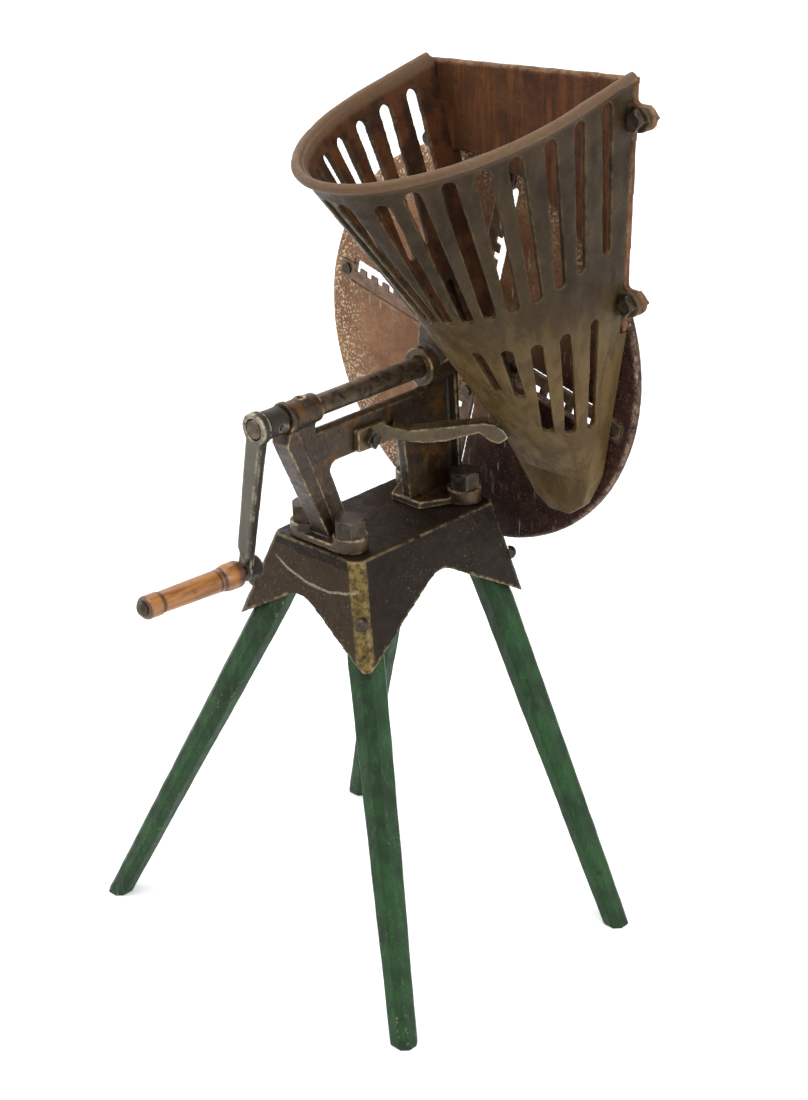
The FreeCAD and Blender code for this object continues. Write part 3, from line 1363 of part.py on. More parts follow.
# Turned grip: full near the arm, drawn in to a neck, a groove before the outer end
grip = new_body("handle_grip")
bore = "handle_pin + running_fit"
grip_half = [
    (handle_start, bore), (handle_start, "handle_belly * 0.84", "handle_belly * 0.3", -1),
    (f"{handle_start} - handle_long * 0.03", "handle_belly"),
    (f"{handle_start} - handle_long * 0.1", "handle_belly", "handle_long * 0.25", -1),
    (f"{handle_start} - handle_long * 0.2", "handle_neck"),
    (f"{handle_start} - handle_long * 0.83", "handle_waist"),
    (f"{handle_start} - handle_long * 0.835", "handle_groove"),
    (f"{handle_start} - handle_long * 0.85", "handle_groove"),
    (f"{handle_start} - handle_long * 0.855", "handle_end"),
    (f"{handle_start} - handle_long * 0.97", "handle_end", "handle_end * 0.35", -1),
    (handle_stop, "handle_end * 0.77"), (handle_stop, bore),
]
revolve(grip, outline(grip, "YZ_Plane", grip_half))
stand_at(grip, x=f"{pin_offset.x}", y="-shaft_front", z=f"shaft_height + {pin_offset.z}", turn=pin_turn)
keep(grip)

# Check every object, then write one file for each node
doc.recompute()
for thing in doc.Objects:
    if "Invalid" in thing.State or "Error" in thing.State:
        raise RuntimeError(f"{thing.Label} failed: {thing.State}")
os.makedirs("parts", exist_ok=True)
triangles = 0
for node in nodes:
    if node.Shape.isNull() or not node.Shape.isValid():
        raise RuntimeError(f"{node.Label} has no valid shape")
    node.Shape.exportStep(f"parts/{node.Label}.step")
    count = len(node.Shape.tessellate(0.1)[1])
    triangles += count
    box = node.Shape.BoundBox
    print(f"{node.Label}: {len(node.Shape.Solids)} solids, volume {node.Shape.Volume:.0f}, "
          f"triangles {count}, "
          f"x {box.XMin:.1f} {box.XMax:.1f} y {box.YMin:.1f} {box.YMax:.1f} z {box.ZMin:.1f} {box.ZMax:.1f}")
print(len(nodes), "nodes", triangles, "triangles")
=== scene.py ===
# %% [markdown]
# # A hand cranked cabbage shredder
# This lesson dresses a finished model of a small rotary shredder: a disc with four
# toothed knives turns behind a slotted half-cone hopper, on four splayed green legs.
# The model already has every solid in its place. Here the solids get their looks:
# worn cast iron, painted wood, a turned and varnished grip, and studio light.

# %% Load the model
import math

import bpy
import numpy as np
from mathutils import Matrix, Vector


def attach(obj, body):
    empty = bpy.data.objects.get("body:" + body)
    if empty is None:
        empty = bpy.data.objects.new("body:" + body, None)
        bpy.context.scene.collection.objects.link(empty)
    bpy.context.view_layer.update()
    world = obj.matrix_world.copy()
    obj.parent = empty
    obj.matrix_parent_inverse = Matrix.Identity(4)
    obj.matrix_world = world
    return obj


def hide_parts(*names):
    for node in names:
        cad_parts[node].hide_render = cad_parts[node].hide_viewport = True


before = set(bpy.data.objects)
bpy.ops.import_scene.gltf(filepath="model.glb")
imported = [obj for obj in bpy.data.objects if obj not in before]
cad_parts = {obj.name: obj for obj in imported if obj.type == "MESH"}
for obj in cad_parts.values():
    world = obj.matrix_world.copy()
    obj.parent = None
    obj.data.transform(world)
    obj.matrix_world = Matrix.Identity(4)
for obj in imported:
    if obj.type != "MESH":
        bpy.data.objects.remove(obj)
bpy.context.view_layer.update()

# %% [markdown]
# ## Camera
# The view is given by the place where the camera stands, in metres, and by three
# angles: how far round the object it looks from, how steeply it looks down, and how
# much it is tipped. The three axes of the camera are worked out from those angles, so
# no aiming constraint is needed and nothing moves later.

# %% Set the camera
CAMERA_PLACE = np.array([0.4942, -0.46715, 0.4817])
AROUND, DOWN, TIP = np.radians([44.841, 25.155, -1.829])
SENSOR, LENS = 36, 64.42
FARTHEST = 20


def camera_axes(around, down, tip):
    """Right, up and backward axes. Backward is (sin a cos d, -cos a cos d, sin d);
    right is level, and the tip turns right and up about backward."""
    back = np.array([np.sin(around) * np.cos(down), -np.cos(around) * np.cos(down), np.sin(down)])
    right = np.array([np.cos(around), np.sin(around), 0.0])
    up = np.cross(back, right)
    return (right * np.cos(tip) + up * np.sin(tip), up * np.cos(tip) - right * np.sin(tip), back)


camera = bpy.data.objects.new("camera", bpy.data.cameras.new("camera"))
bpy.context.scene.collection.objects.link(camera)
axes = np.array(camera_axes(AROUND, DOWN, TIP)).T
placed = Matrix.Identity(4)
for row in range(3):
    placed[row][:3] = axes[row]
    placed[row][3] = CAMERA_PLACE[row]
camera.matrix_world = placed
camera.data.sensor_width = SENSOR
camera.data.lens = LENS
camera.data.clip_end = FARTHEST
bpy.context.scene.camera = camera
bpy.context.scene.view_settings.view_transform = "Standard"
print("camera at", CAMERA_PLACE, "lens", camera.data.lens)

# %% [markdown]
# ## Floor
# The object stands on a white sweep: a floor that bends up into a wall, so that the
# camera sees no edge behind the object. It could be a folded plane with a bevel. Here
# one row of points runs from the floor up the wall and is carried sideways, which
# gives the bend an even curve.

# %% Build the sweep
BEND_START, BEND = 0.75, 0.35
FLOOR_ROWS = (-4.0, -1.5)
WALL_TOP = 3.0
HALF_WIDTH = 4


def surface(name, points):
    """Mesh of a grid of points with shape (along, across, 3): every cell becomes one
    four-sided face."""
    along, across = points.shape[:2]
    index = np.arange(along * across).reshape(along, across)
    corners = [index[:-1, :-1], index[:-1, 1:], index[1:, 1:], index[1:, :-1]]
    faces = np.stack(corners, axis=-1).reshape(-1, 4)
    mesh = bpy.data.meshes.new(name)
    mesh.vertices.add(along * across)
    mesh.vertices.foreach_set("co", points.reshape(-1).astype(np.float32))
    mesh.loops.add(faces.size)
    mesh.loops.foreach_set("vertex_index", faces.reshape(-1))
    mesh.polygons.add(len(faces))
    mesh.polygons.foreach_set("loop_start", np.arange(0, faces.size, 4))
    mesh.update(calc_edges=True)
    mesh.validate()
    thing = bpy.data.objects.new(name, mesh)
    bpy.context.scene.collection.objects.link(thing)
    return thing


def smooth(thing):
    """Shade every face as part of a rounded surface."""
    thing.data.polygons.foreach_set("use_smooth", np.ones(len(thing.data.polygons), bool))
    thing.data.update()
    return thing


def sweep_points():
    """Floor, quarter-round bend and wall, carried straight across the view. Along the
    bend the distance away grows with the sine of the turn, and the height with one
    less its cosine, both times the bend's radius."""
    turn = np.linspace(0, math.pi / 2, 24)
    run = np.concatenate([FLOOR_ROWS, BEND_START + BEND * np.sin(turn), [BEND_START + BEND]])
    rise = np.concatenate([np.zeros(len(FLOOR_ROWS)), BEND * (1 - np.cos(turn)), [WALL_TOP]])
    away = np.array([-math.sin(AROUND), math.cos(AROUND)])
    side = np.array([math.cos(AROUND), math.sin(AROUND)])
    across = np.linspace(-HALF_WIDTH, HALF_WIDTH, 9)
    x = run[:, None] * away[0] + across[None, :] * side[0]
    y = run[:, None] * away[1] + across[None, :] * side[1]
    z = np.repeat(rise[:, None], len(across), axis=1)
    return np.stack([x, y, z], axis=-1)


floor = smooth(surface("sweep", sweep_points()))
print("sweep faces:", len(floor.data.polygons))

# %% [markdown]
# ## A small kit for materials
# Every finish below is a tree of nodes. Writing trees out by hand is long, so a small
# class keeps it short: it adds nodes and wires them, turns noise into soft patches,
# mixes colours and builds bumps. Patterns read Object coordinates in millimetres, so
# noise of size 24 has patches about 24 millimetres across.

# %% Helpers for node trees
MILLIMETRES = 1000
CLEAR_COAT_ROUGHNESS = 0.25


class Finish:
    """One material and its tree, with the few calls that the finishes need."""

    def __init__(self, name):
        """Empty tree, and the Object coordinates times a thousand: millimetres."""
        self.material = bpy.data.materials.new(name)
        self.material.use_nodes = True
        self.tree = self.material.node_tree
        self.tree.nodes.clear()
        coordinates = self.add("ShaderNodeTexCoord").outputs["Object"]
        scaled = self.add("ShaderNodeVectorMath", coordinates, operation="SCALE", scale_by=MILLIMETRES)
        self.place = scaled.outputs[0]

    def add(self, kind, *inputs, scale_by=None, **settings):
        """New node; inputs are sockets or values for its inputs in order."""
        made = self.tree.nodes.new(kind)
        for key, value in settings.items():
            setattr(made, key, value)
        if scale_by is not None:
            made.inputs["Scale"].default_value = scale_by
        for number, value in enumerate(inputs):
            self.wire(value, made.inputs[number])
        return made

    def wire(self, value, socket):
        """Join a socket to an input, or set the input to a value. A colour without an
        alpha gets full alpha, and nothing is done with None."""
        if value is None:
            return
        if isinstance(value, bpy.types.NodeSocket):
            self.tree.links.new(value, socket)
        elif isinstance(value, (tuple, list)) and socket.type == "RGBA":
            socket.default_value = tuple(value) + (1.0,) * (4 - len(value))
        else:
            socket.default_value = value

    def math(self, operation, a, b=None):
        """One step of arithmetic on one or two sockets or numbers."""
        return self.add("ShaderNodeMath", a, b, operation=operation).outputs[0]

    def stretched(self, x=1.0, y=1.0, z=1.0, turn=(0, 0, 0)):
        """Coordinates times a factor along each axis, for grain, drips and brush marks:
        a factor below one draws a pattern out along that axis."""
        mapping = self.add("ShaderNodeMapping", self.place)
        mapping.inputs["Scale"].default_value = (x, y, z)
        mapping.inputs["Rotation"].default_value = turn
        return mapping.outputs[0]

    def noise(self, size, detail=4.0, rough=0.55, place=None, warp=0.0):
        """Cloudy noise whose patches are about size millimetres across."""
        made = self.add("ShaderNodeTexNoise", place or self.place)
        made.inputs["Scale"].default_value = 1.0 / size
        made.inputs["Detail"].default_value = detail
        made.inputs["Roughness"].default_value = rough
        made.inputs["Distortion"].default_value = warp
        return made.outputs["Fac"]

    def span(self, value, low, high, bottom=0.0, top=1.0):
        """Value moved from the range low..high to bottom..top, smoothly and clamped."""
        made = self.add("ShaderNodeMapRange", value, low, high, bottom, top,
                        interpolation_type="SMOOTHSTEP")
        return made.outputs[0]

    def patches(self, size, low, high, detail=4.0, rough=0.6, place=None, warp=0.0):
        """Noise made into soft patches: none where it is below low, one above high."""
        return self.span(self.noise(size, detail, rough, place, warp), low, high)

    def mix(self, factor, first, second):
        """First colour, passing into the second as the factor goes from none to one."""
        made = self.add("ShaderNodeMix", data_type="RGBA")
        self.wire(factor, made.inputs[0])
        self.wire(first, made.inputs[6])
        self.wire(second, made.inputs[7])
        return made.outputs[2]

    def axis(self, which):
        """One coordinate, in millimetres."""
        return self.add("ShaderNodeSeparateXYZ", self.place).outputs["XYZ".index(which)]

    def attribute(self, name):
        """A number that the mesh carries at its points, such as its wear."""
        return self.add("ShaderNodeAttribute", attribute_name=name).outputs["Fac"]

    def times(self, *factors):
        """Product of sockets and numbers."""
        product = factors[0]
        for factor in factors[1:]:
            product = self.math("MULTIPLY", product, factor)
        return product

    def near(self, value, centre, half):
        """One close to the centre, falling smoothly to none at half to either side."""
        away = self.math("ABSOLUTE", self.math("SUBTRACT", value, centre))
        return self.span(away, half, half * 0.3)

    def edges(self, reach=0.7, low=0.02, high=0.16):
        """Where the surface turns sharply within reach millimetres: the part of the
        normal that a rounded-off normal loses."""
        rounded = self.add("ShaderNodeBevel", reach / MILLIMETRES, samples=6).outputs[0]
        flat = self.add("ShaderNodeNewGeometry").outputs["Normal"]
        kept = self.add("ShaderNodeVectorMath", rounded, flat, operation="DOT_PRODUCT").outputs["Value"]
        return self.span(self.math("SUBTRACT", 1.0, kept), low, high)

    def bump(self, height, depth, under=None):
        """Bump of a pattern whose full step is depth millimetres."""
        made = self.add("ShaderNodeBump")
        made.inputs["Strength"].default_value = 1.0
        made.inputs["Distance"].default_value = depth / MILLIMETRES
        self.wire(height, made.inputs["Height"])
        self.wire(under, made.inputs["Normal"])
        return made.outputs[0]

    def done(self, colour, rough, metallic=0.0, normal=None, coat=0.0, specular=0.5):
        """End the tree with one shader and the output, and give back the material."""
        shader = self.add("ShaderNodeBsdfPrincipled")
        self.wire(colour, shader.inputs["Base Color"])
        self.wire(rough, shader.inputs["Roughness"])
        self.wire(metallic, shader.inputs["Metallic"])
        self.wire(normal, shader.inputs["Normal"])
        shader.inputs["Coat Weight"].default_value = coat
        shader.inputs["Coat Roughness"].default_value = CLEAR_COAT_ROUGHNESS
        shader.inputs["Specular IOR Level"].default_value = specular
        end = self.add("ShaderNodeOutputMaterial")
        self.tree.links.new(shader.outputs[0], end.inputs[0])
        return self.material


def paint(*screen):
    """Red, green and blue as they look on a screen, 0 to 255, turned into the light
    values that shaders use: nearly the value raised to 2.2, and a straight line close
    to black."""
    shares = [value / 255 for value in screen]
    return tuple(((v + 0.055) / 1.055) ** 2.4 if v > 0.04 else v / 12.92 for v in shares)


def wear_finish(material, *names):
    """Give solids of the model their finish, in place of what they had."""
    for name in names:
        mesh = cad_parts[name].data
        mesh.materials.clear()
        mesh.materials.append(material)


print("kit ready")

# %% [markdown]
# ## White sweep and studio lamps
# The sweep is pale matt paper that gives off a little light of its own, and a little
# more towards the camera, so that it looks nearly white and still takes the shadow
# under the legs. The surroundings are white to the camera, in reflections and through
# clear things, and give only a dimmer light otherwise. Three soft lamps do the rest: a
# wide one above, a weaker one from the left and a low one from the right.

# %% Light the set
PAPER_COLOUR, GLOW_COLOUR = (0.86, 0.86, 0.865), (0.93, 0.93, 0.94)
GLOW, MORE_GLOW_TO_CAMERA = 0.2, 0.14
ROOM_LIGHT, ROOM_WHITE = 0.42, 1.0

sweep = Finish("white_sweep")
paper = sweep.add("ShaderNodeBsdfDiffuse", PAPER_COLOUR).outputs[0]
sweep_end = sweep.add("ShaderNodeOutputMaterial")
seen_by_eye = sweep.add("ShaderNodeLightPath").outputs["Is Camera Ray"]
strength = sweep.add("ShaderNodeMath", seen_by_eye, MORE_GLOW_TO_CAMERA, GLOW,
                     operation="MULTIPLY_ADD").outputs[0]
glow = sweep.add("ShaderNodeEmission", GLOW_COLOUR, strength).outputs[0]
both = sweep.add("ShaderNodeAddShader", paper, glow).outputs[0]
sweep.tree.links.new(both, sweep_end.inputs[0])
floor.data.materials.append(sweep.material)

world = bpy.data.worlds.new("studio")
bpy.context.scene.world = world
world.use_nodes = True
nodes, links = world.node_tree.nodes, world.node_tree.links
nodes["Background"].inputs[0].default_value = (1, 1, 1, 1)
ray = nodes.new("ShaderNodeLightPath").outputs
seen = ray["Is Camera Ray"]
for kind in ("Is Glossy Ray", "Is Transmission Ray"):
    either = nodes.new("ShaderNodeMath")
    either.operation = "MAXIMUM"
    links.new(seen, either.inputs[0])
    links.new(ray[kind], either.inputs[1])
    seen = either.outputs[0]
brightness = nodes.new("ShaderNodeMapRange")
brightness.inputs["To Min"].default_value = ROOM_LIGHT
brightness.inputs["To Max"].default_value = ROOM_WHITE
links.new(seen, brightness.inputs["Value"])
links.new(brightness.outputs[0], nodes["Background"].inputs[1])


def lamp(name, place, aim, size, watts):
    """Square lamp at a place, facing a point."""
    light = bpy.data.lights.new(name, "AREA")
    light.size = size
    light.energy = watts
    thing = bpy.data.objects.new(name, light)
    bpy.context.scene.collection.objects.link(thing)
    way = Vector(place) - Vector(aim)
    thing.matrix_world = Matrix.Translation(place) @ way.to_track_quat("Z", "Y").to_matrix().to_4x4()


lamp("top_lamp", (0.1, -0.2, 1.9), (0, 0, 0.15), size=1.4, watts=26)
lamp("left_lamp", (-1.2, -1.0, 1.1), (0, 0, 0.2), size=1.0, watts=10)
lamp("right_lamp", (1.5, 0.1, 0.7), (0, 0, 0.2), size=1.0, watts=9)

# %% [markdown]
# ## Soft edges for the castings
# A casting comes out of sand, so it has no sharp edge anywhere, and long use rounds it
# more. Each casting is copied from the model, filled with small cubes (a voxel
# remesh), relaxed, and then pushed in a little by waves, so that its flat sides catch
# light unevenly. The same mesh tells where it is sharp and where hollow: a point lies
# above the mean of its neighbours on an edge and below it in a corner. The legs have
# rubbed corners too, so they are made the same way.

# %% From model node to worn casting
MOST_TRIANGLES = 185000
WELD_GAP = 2e-6
SHARPEST = 0.07
SLOW_WAVE, QUICK_WAVE = 16, 5


def read(mesh, part, key, width, kind=np.float32):
    """One array of a mesh, such as the places of its points."""
    values = np.empty(len(getattr(mesh, part)) * width, kind)
    getattr(mesh, part).foreach_get(key, values)
    return values.reshape(-1, width)


def neighbour_mean(ends, values):
    """Mean over the far ends of each point's edges, one column at a time."""
    count = np.bincount(ends.reshape(-1), minlength=len(values))
    columns = []
    for column in values.T:
        total = np.bincount(ends[:, 0], column[ends[:, 1]], len(values))
        total += np.bincount(ends[:, 1], column[ends[:, 0]], len(values))
        columns.append(total / np.maximum(count, 1))
    return np.stack(columns, axis=-1)


def waves(places, size, seed):
    """Soft unevenness from about -1 to 1: fourteen sine waves in chance directions,
    each between half and one and a half times size long, added up and divided by five."""
    chance = np.random.default_rng(seed)
    ways = chance.normal(size=(14, 3))
    ways /= np.linalg.norm(ways, axis=1, keepdims=True) * size * chance.uniform(0.5, 1.5, (14, 1))
    lifts = np.sin(2 * math.pi * (places @ ways.T + chance.uniform(0, 1, 14)))
    return lifts.sum(axis=1) / 5.0


def carry(mesh, name, values):
    """Store one number per point under a name that materials can read."""
    mesh.attributes.new(name, "FLOAT", "POINT").data.foreach_set("value", values.astype(np.float32))


def settle(thing):
    """Make a piece's modifiers part of its mesh."""
    seen = thing.evaluated_get(bpy.context.evaluated_depsgraph_get())
    mesh = bpy.data.meshes.new_from_object(seen)
    thing.modifiers.clear()
    thing.data = mesh
    mesh.name = thing.name
    return mesh


def soften(node, body, cube, relax=5, depth=0.2, grain=(1, 1, 1), seed=1):
    """Rounded, uneven copy of a model node, made of cubes this many millimetres wide.
    Wear comes from how far a point stands above the mean of its neighbours, along its
    normal and counted in cubes, and hollow from how far it lies below. Points then move
    inwards by depth times (one plus the waves) halved. A mesh with too many triangles
    is thinned."""
    copy = bpy.data.objects.new(node + "_worn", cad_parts[node].data.copy())
    bpy.context.scene.collection.objects.link(copy)
    welded = copy.modifiers.new("weld", "WELD")
    welded.merge_threshold = WELD_GAP
    cubes = copy.modifiers.new("cubes", "REMESH")
    cubes.mode = "VOXEL"
    cubes.voxel_size = cube / MILLIMETRES
    eased = copy.modifiers.new("ease", "SMOOTH")
    eased.factor = 0.5
    eased.iterations = relax
    mesh = settle(copy)
    places = read(mesh, "vertices", "co", 3) * MILLIMETRES
    normals = read(mesh, "vertex_normals", "vector", 3)
    ends = read(mesh, "edges", "vertices", 2, np.int32)
    rise = ((places - neighbour_mean(ends, places)) * normals).sum(axis=1)[:, None] / cube
    for _ in range(2):
        rise = 0.5 * rise + 0.5 * neighbour_mean(ends, rise)
    carry(mesh, "wear", np.clip(rise[:, 0] / SHARPEST - 0.25, 0, 1))
    carry(mesh, "hollow", np.clip(-rise[:, 0] / SHARPEST, 0, 1))
    stretched = places * np.array(grain)
    lift = 0.6 * waves(stretched, SLOW_WAVE, seed) + 0.4 * waves(stretched, QUICK_WAVE, seed + 1)
    places -= normals * (depth * (0.5 + 0.5 * np.clip(lift, -1, 1)))[:, None]
    mesh.vertices.foreach_set("co", (places / MILLIMETRES).astype(np.float32).reshape(-1))
    mesh.materials.clear()
    if len(mesh.polygons) * 2 > MOST_TRIANGLES:
        copy.modifiers.new("thin", "DECIMATE").ratio = MOST_TRIANGLES / (len(mesh.polygons) * 2)
        settle(copy)
    smooth(copy)
    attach(copy, body)
    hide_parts(node)
    return copy


print("a softened piece has at most", MOST_TRIANGLES, "triangles")

# %% Soften the castings and the legs
LEGS = ("leg_front_right", "leg_front_left", "leg_back_right", "leg_back_left")

worn = {
    "base_casting": soften("base_casting", "stand", 0.6, 6, 0.3, seed=3),
    "frame_casting": soften("frame_casting", "stand", 0.45, 5, seed=5),
    "support_arm": soften("support_arm", "stand", 0.4, 4, 0.12, seed=7),
    "hopper_shell": soften("hopper_shell", "stand", 0.42, 5, 0.22, seed=9),
    "hopper_back_plate": soften("hopper_back_plate", "stand", 0.75, 4, seed=11),
    "cutter_disc": soften("cutter_disc", "rotor", 0.6, 3, 0.15, seed=13),
    "crank_arm": soften("crank_arm", "rotor", 0.4, 4, 0.12, seed=15),
}
for number, leg in enumerate(LEGS):
    worn[leg] = soften(leg, "stand", 0.6, 4, 0.3, grain=(1, 1, 0.2), seed=20 + number)
for piece in worn.values():
    piece.data.calc_loop_triangles()
print("triangles:", {name: len(piece.data.loop_triangles) for name, piece in worn.items()})

# %% [markdown]
# ## Inside and outside of the hopper
# The hopper is brown inside and darker outside, and both sides belong to one mesh. A
# point is on the inside where its normal looks at the hopper's upright middle line, so
# each point carries a number that says how far it does.

# %% Tell the hopper's inside from its outside
STAND_X, STAND_Y = 2.3, 14.05
HOPPER_MIDDLE = (34 + STAND_X, 44 + STAND_Y)


def around(piece, centre_x, centre_y):
    """One on the side of a hollow piece that faces its upright middle line, else none:
    the part of the normal that points at the line, stretched and clamped."""
    places = read(piece.data, "vertices", "co", 3) * MILLIMETRES
    normals = read(piece.data, "vertex_normals", "vector", 3)
    way = np.array([centre_x, centre_y]) - places[:, :2]
    way /= np.linalg.norm(way, axis=1, keepdims=True)
    return np.clip(0.5 + 2.5 * (normals[:, :2] * way).sum(axis=1), 0, 1)


inner = around(worn["hopper_shell"], *HOPPER_MIDDLE)
carry(worn["hopper_shell"].data, "inner", inner)
print("points on the hopper's inside:", int((inner > 0.5).sum()), "of", len(inner))

# %% [markdown]
# ## Old cast iron
# Most of the machine is cast iron under a worn dark coat. One recipe covers it: a base
# colour, cloudy patches of a second one, mottled rust, painted shade in the hollows, bare
# metal and pale chips on the edges, and a sandy bump. A casting's own marks, such as drips or
# a scratch, are drawn by a small function that is handed to the recipe.

# %% The recipe for castings
GRIME = paint(24, 19, 15)
HOLLOW_SHADE = paint(26, 20, 16)


def casting(name, first, second, rust, bare, gloss=(0.36, 0.62), metallic=0.1, chips=0.75,
            marks=None, shine=0.15):
    """Finish of a casting. Its colours, from below: two in clouds, rust, grime, the
    casting's own marks, painted shade in the hollows, and bare metal on the edges."""
    finish = Finish(name)
    colour = finish.mix(finish.patches(24, 0.36, 0.64, warp=0.5), first, second)
    colour = finish.mix(finish.times(finish.patches(3.2, 0.42, 0.68, 8, 0.7), 0.45), colour, rust)
    colour = finish.mix(finish.times(finish.patches(1.3, 0.52, 0.7, 6), 0.35), colour, GRIME)
    if marks:
        colour = marks(finish, colour)
    # painted shade: the hollow number darkens the colour where the surface is concave
    colour = finish.mix(finish.times(finish.attribute("hollow"), 0.7), colour, HOLLOW_SHADE)
    bared = finish.times(finish.attribute("wear"), finish.patches(2.2, 0.36, 0.56, 7, 0.7),
                         finish.patches(9, 0.36, 0.56), chips)
    colour = finish.mix(bared, colour, bare)
    roughness = finish.span(finish.noise(4, 6), 0.3, 0.7, gloss[0], gloss[1])
    sand = finish.bump(finish.noise(0.9, 5, 0.65), 0.09)
    pits = finish.bump(finish.patches(1.7, 0.3, 0.44, 3), 0.12, sand)
    return finish.done(colour, roughness, metallic, pits, specular=shine)


def specks(finish, colour, tone, where, size=0.8, share=0.6, strength=0.8):
    """Small pale flecks where the mask is one."""
    flecks = finish.patches(size, share, share + 0.07, 3)
    return finish.mix(finish.times(flecks, where, strength), colour, tone)


# the second colour printed is the painted shade for the hollows
print("grime:", GRIME, "dirt in the hollows:", HOLLOW_SHADE)

# %% [markdown]
# ## Marks of each casting
# The hopper is dark olive-brown above and bronze below, with wiped streaks; its inside
# is brown. The disc is pale tan, darkened by painted shade towards its lower right,
# with cream flecks and drips. The base has a brassy strip down its near corner, one
# long scratch on its front, and painted light that makes its whole front side paler.
# The marks could be painted by hand on an image. Here each is worked out from where a
# point lies, in millimetres, so it needs no image.

# %% Marks of the hopper and its back plate
BRONZE_START, BRONZE_FULL = 278, 238
INSIDE_START, INSIDE_FULL = 206, 212
RIM_SLOPE, RIM_CANT = 0.234, 0.047
RIM_BACK, RIM_MIDDLE = 50.5 + STAND_Y, 32.45 + STAND_X
BEAD_START, BEAD_FULL = 336, 338.5


def shell_marks(finish, colour):
    """Bronze comes in with falling height, and brown covers the inside down to the tip.
    The bead is where the height, made level by the rim's slope along y and its cant
    along x, is near the rim's own."""
    high = finish.axis("Z")
    streaks = finish.stretched(1, 1, 0.25, (0.1, 0.3, 0))
    wiped = finish.patches(7, 0.42, 0.62, 5, place=streaks, warp=0.8)
    low = finish.span(high, BRONZE_START, BRONZE_FULL)
    colour = finish.mix(finish.times(low, 0.75), colour, paint(86, 68, 38))
    colour = finish.mix(finish.times(wiped, low, 0.5), colour, paint(120, 98, 60))
    colour = finish.mix(finish.times(wiped, 0.2), colour, paint(84, 70, 48))
    rusty = finish.mix(finish.patches(9, 0.4, 0.62, 6), paint(50, 32, 21), paint(84, 50, 28))
    inside = finish.times(finish.attribute("inner"), finish.span(high, INSIDE_START, INSIDE_FULL))
    colour = finish.mix(inside, colour, rusty)
    tilt = finish.math("MULTIPLY_ADD", finish.axis("Y"), -RIM_SLOPE)
    tilt.node.inputs[2].default_value = RIM_SLOPE * RIM_BACK
    cant = finish.math("MULTIPLY_ADD", finish.axis("X"), -RIM_CANT)
    cant.node.inputs[2].default_value = RIM_CANT * RIM_MIDDLE
    level = finish.math("ADD", finish.math("ADD", high, tilt), cant)
    bead = finish.span(level, BEAD_START, BEAD_FULL)
    return finish.mix(finish.times(bead, 0.85), colour, paint(104, 80, 60))


def plate_marks(finish, colour):
    """Orange-brown runs down the plate: noise drawn out along its height."""
    runs = finish.patches(3, 0.45, 0.66, 6, place=finish.stretched(1, 1, 0.1))
    return finish.mix(finish.times(runs, 0.5), colour, paint(140, 84, 46))


print("bead from", BEAD_START, "to", BEAD_FULL, "mm, rim slope", RIM_SLOPE)

# %% Marks of the disc
SHAFT_HEIGHT = 227
DARK_SLANT, DARK_WAVE = 0.9, 40
DARK_START, DARK_FULL = 22, -34
DISC_RIM_START, DISC_RIM_FULL = 55, 76


def disc_marks(finish, colour):
    """Painted shade below a slanting, wavy line: height above the shaft, less the slant
    times the distance across, plus noise. Flecks crowd towards the rim on the pale side,
    by the distance from the shaft."""
    across = finish.math("SUBTRACT", finish.axis("X"), STAND_X)
    up = finish.math("SUBTRACT", finish.axis("Z"), SHAFT_HEIGHT)
    slant = finish.math("SUBTRACT", up, finish.math("MULTIPLY", across, DARK_SLANT))
    wavy = finish.math("ADD", slant, finish.math("MULTIPLY", finish.noise(18, 4), DARK_WAVE))
    # painted shade: the disc is darkened towards its lower right, below a slanting, wavy line
    dark = finish.mix(finish.patches(5, 0.4, 0.65, 6), paint(44, 25, 20), paint(66, 40, 31))
    painted_shade = finish.span(wavy, DARK_START, DARK_FULL)
    colour = finish.mix(painted_shade, colour, dark)
    squares = [finish.math("MULTIPLY", way, way) for way in (across, up)]
    spread = finish.math("SQRT", finish.math("ADD", *squares))
    rim = finish.span(spread, DISC_RIM_START, DISC_RIM_FULL)
    pale = finish.times(rim, finish.span(wavy, DARK_FULL, 10))
    colour = specks(finish, colour, paint(214, 200, 168), pale, 1.1, 0.54, 0.9)
    colour = specks(finish, colour, paint(206, 190, 160), 1.0, 0.6, 0.63, 0.5)
    drips = finish.patches(2.0, 0.6, 0.68, 5, place=finish.stretched(1, 1, 0.13), warp=0.3)
    dripped = finish.times(drips, finish.patches(20, 0.45, 0.6), 0.75)
    return finish.mix(dripped, colour, paint(206, 196, 172))


print("disc marks start from the shaft, at", STAND_X, SHAFT_HEIGHT, "mm")

# %% Marks of the base
FRONT_Y = -22
SCRATCH_LEFT, SCRATCH_RIGHT = (-18, -12), (33, 29)
SCRATCH_MIDDLE, SCRATCH_HEIGHT = 9 + STAND_X, 157.9
SCRATCH_BEND, SCRATCH_LEAN, SCRATCH_WOBBLE = 0.0102, 0.066, 1.6
CORNER_FOOT, CORNER_LEAN = 133, 0.45
CORNER_START, CORNER_FULL = 60.2, 61.2


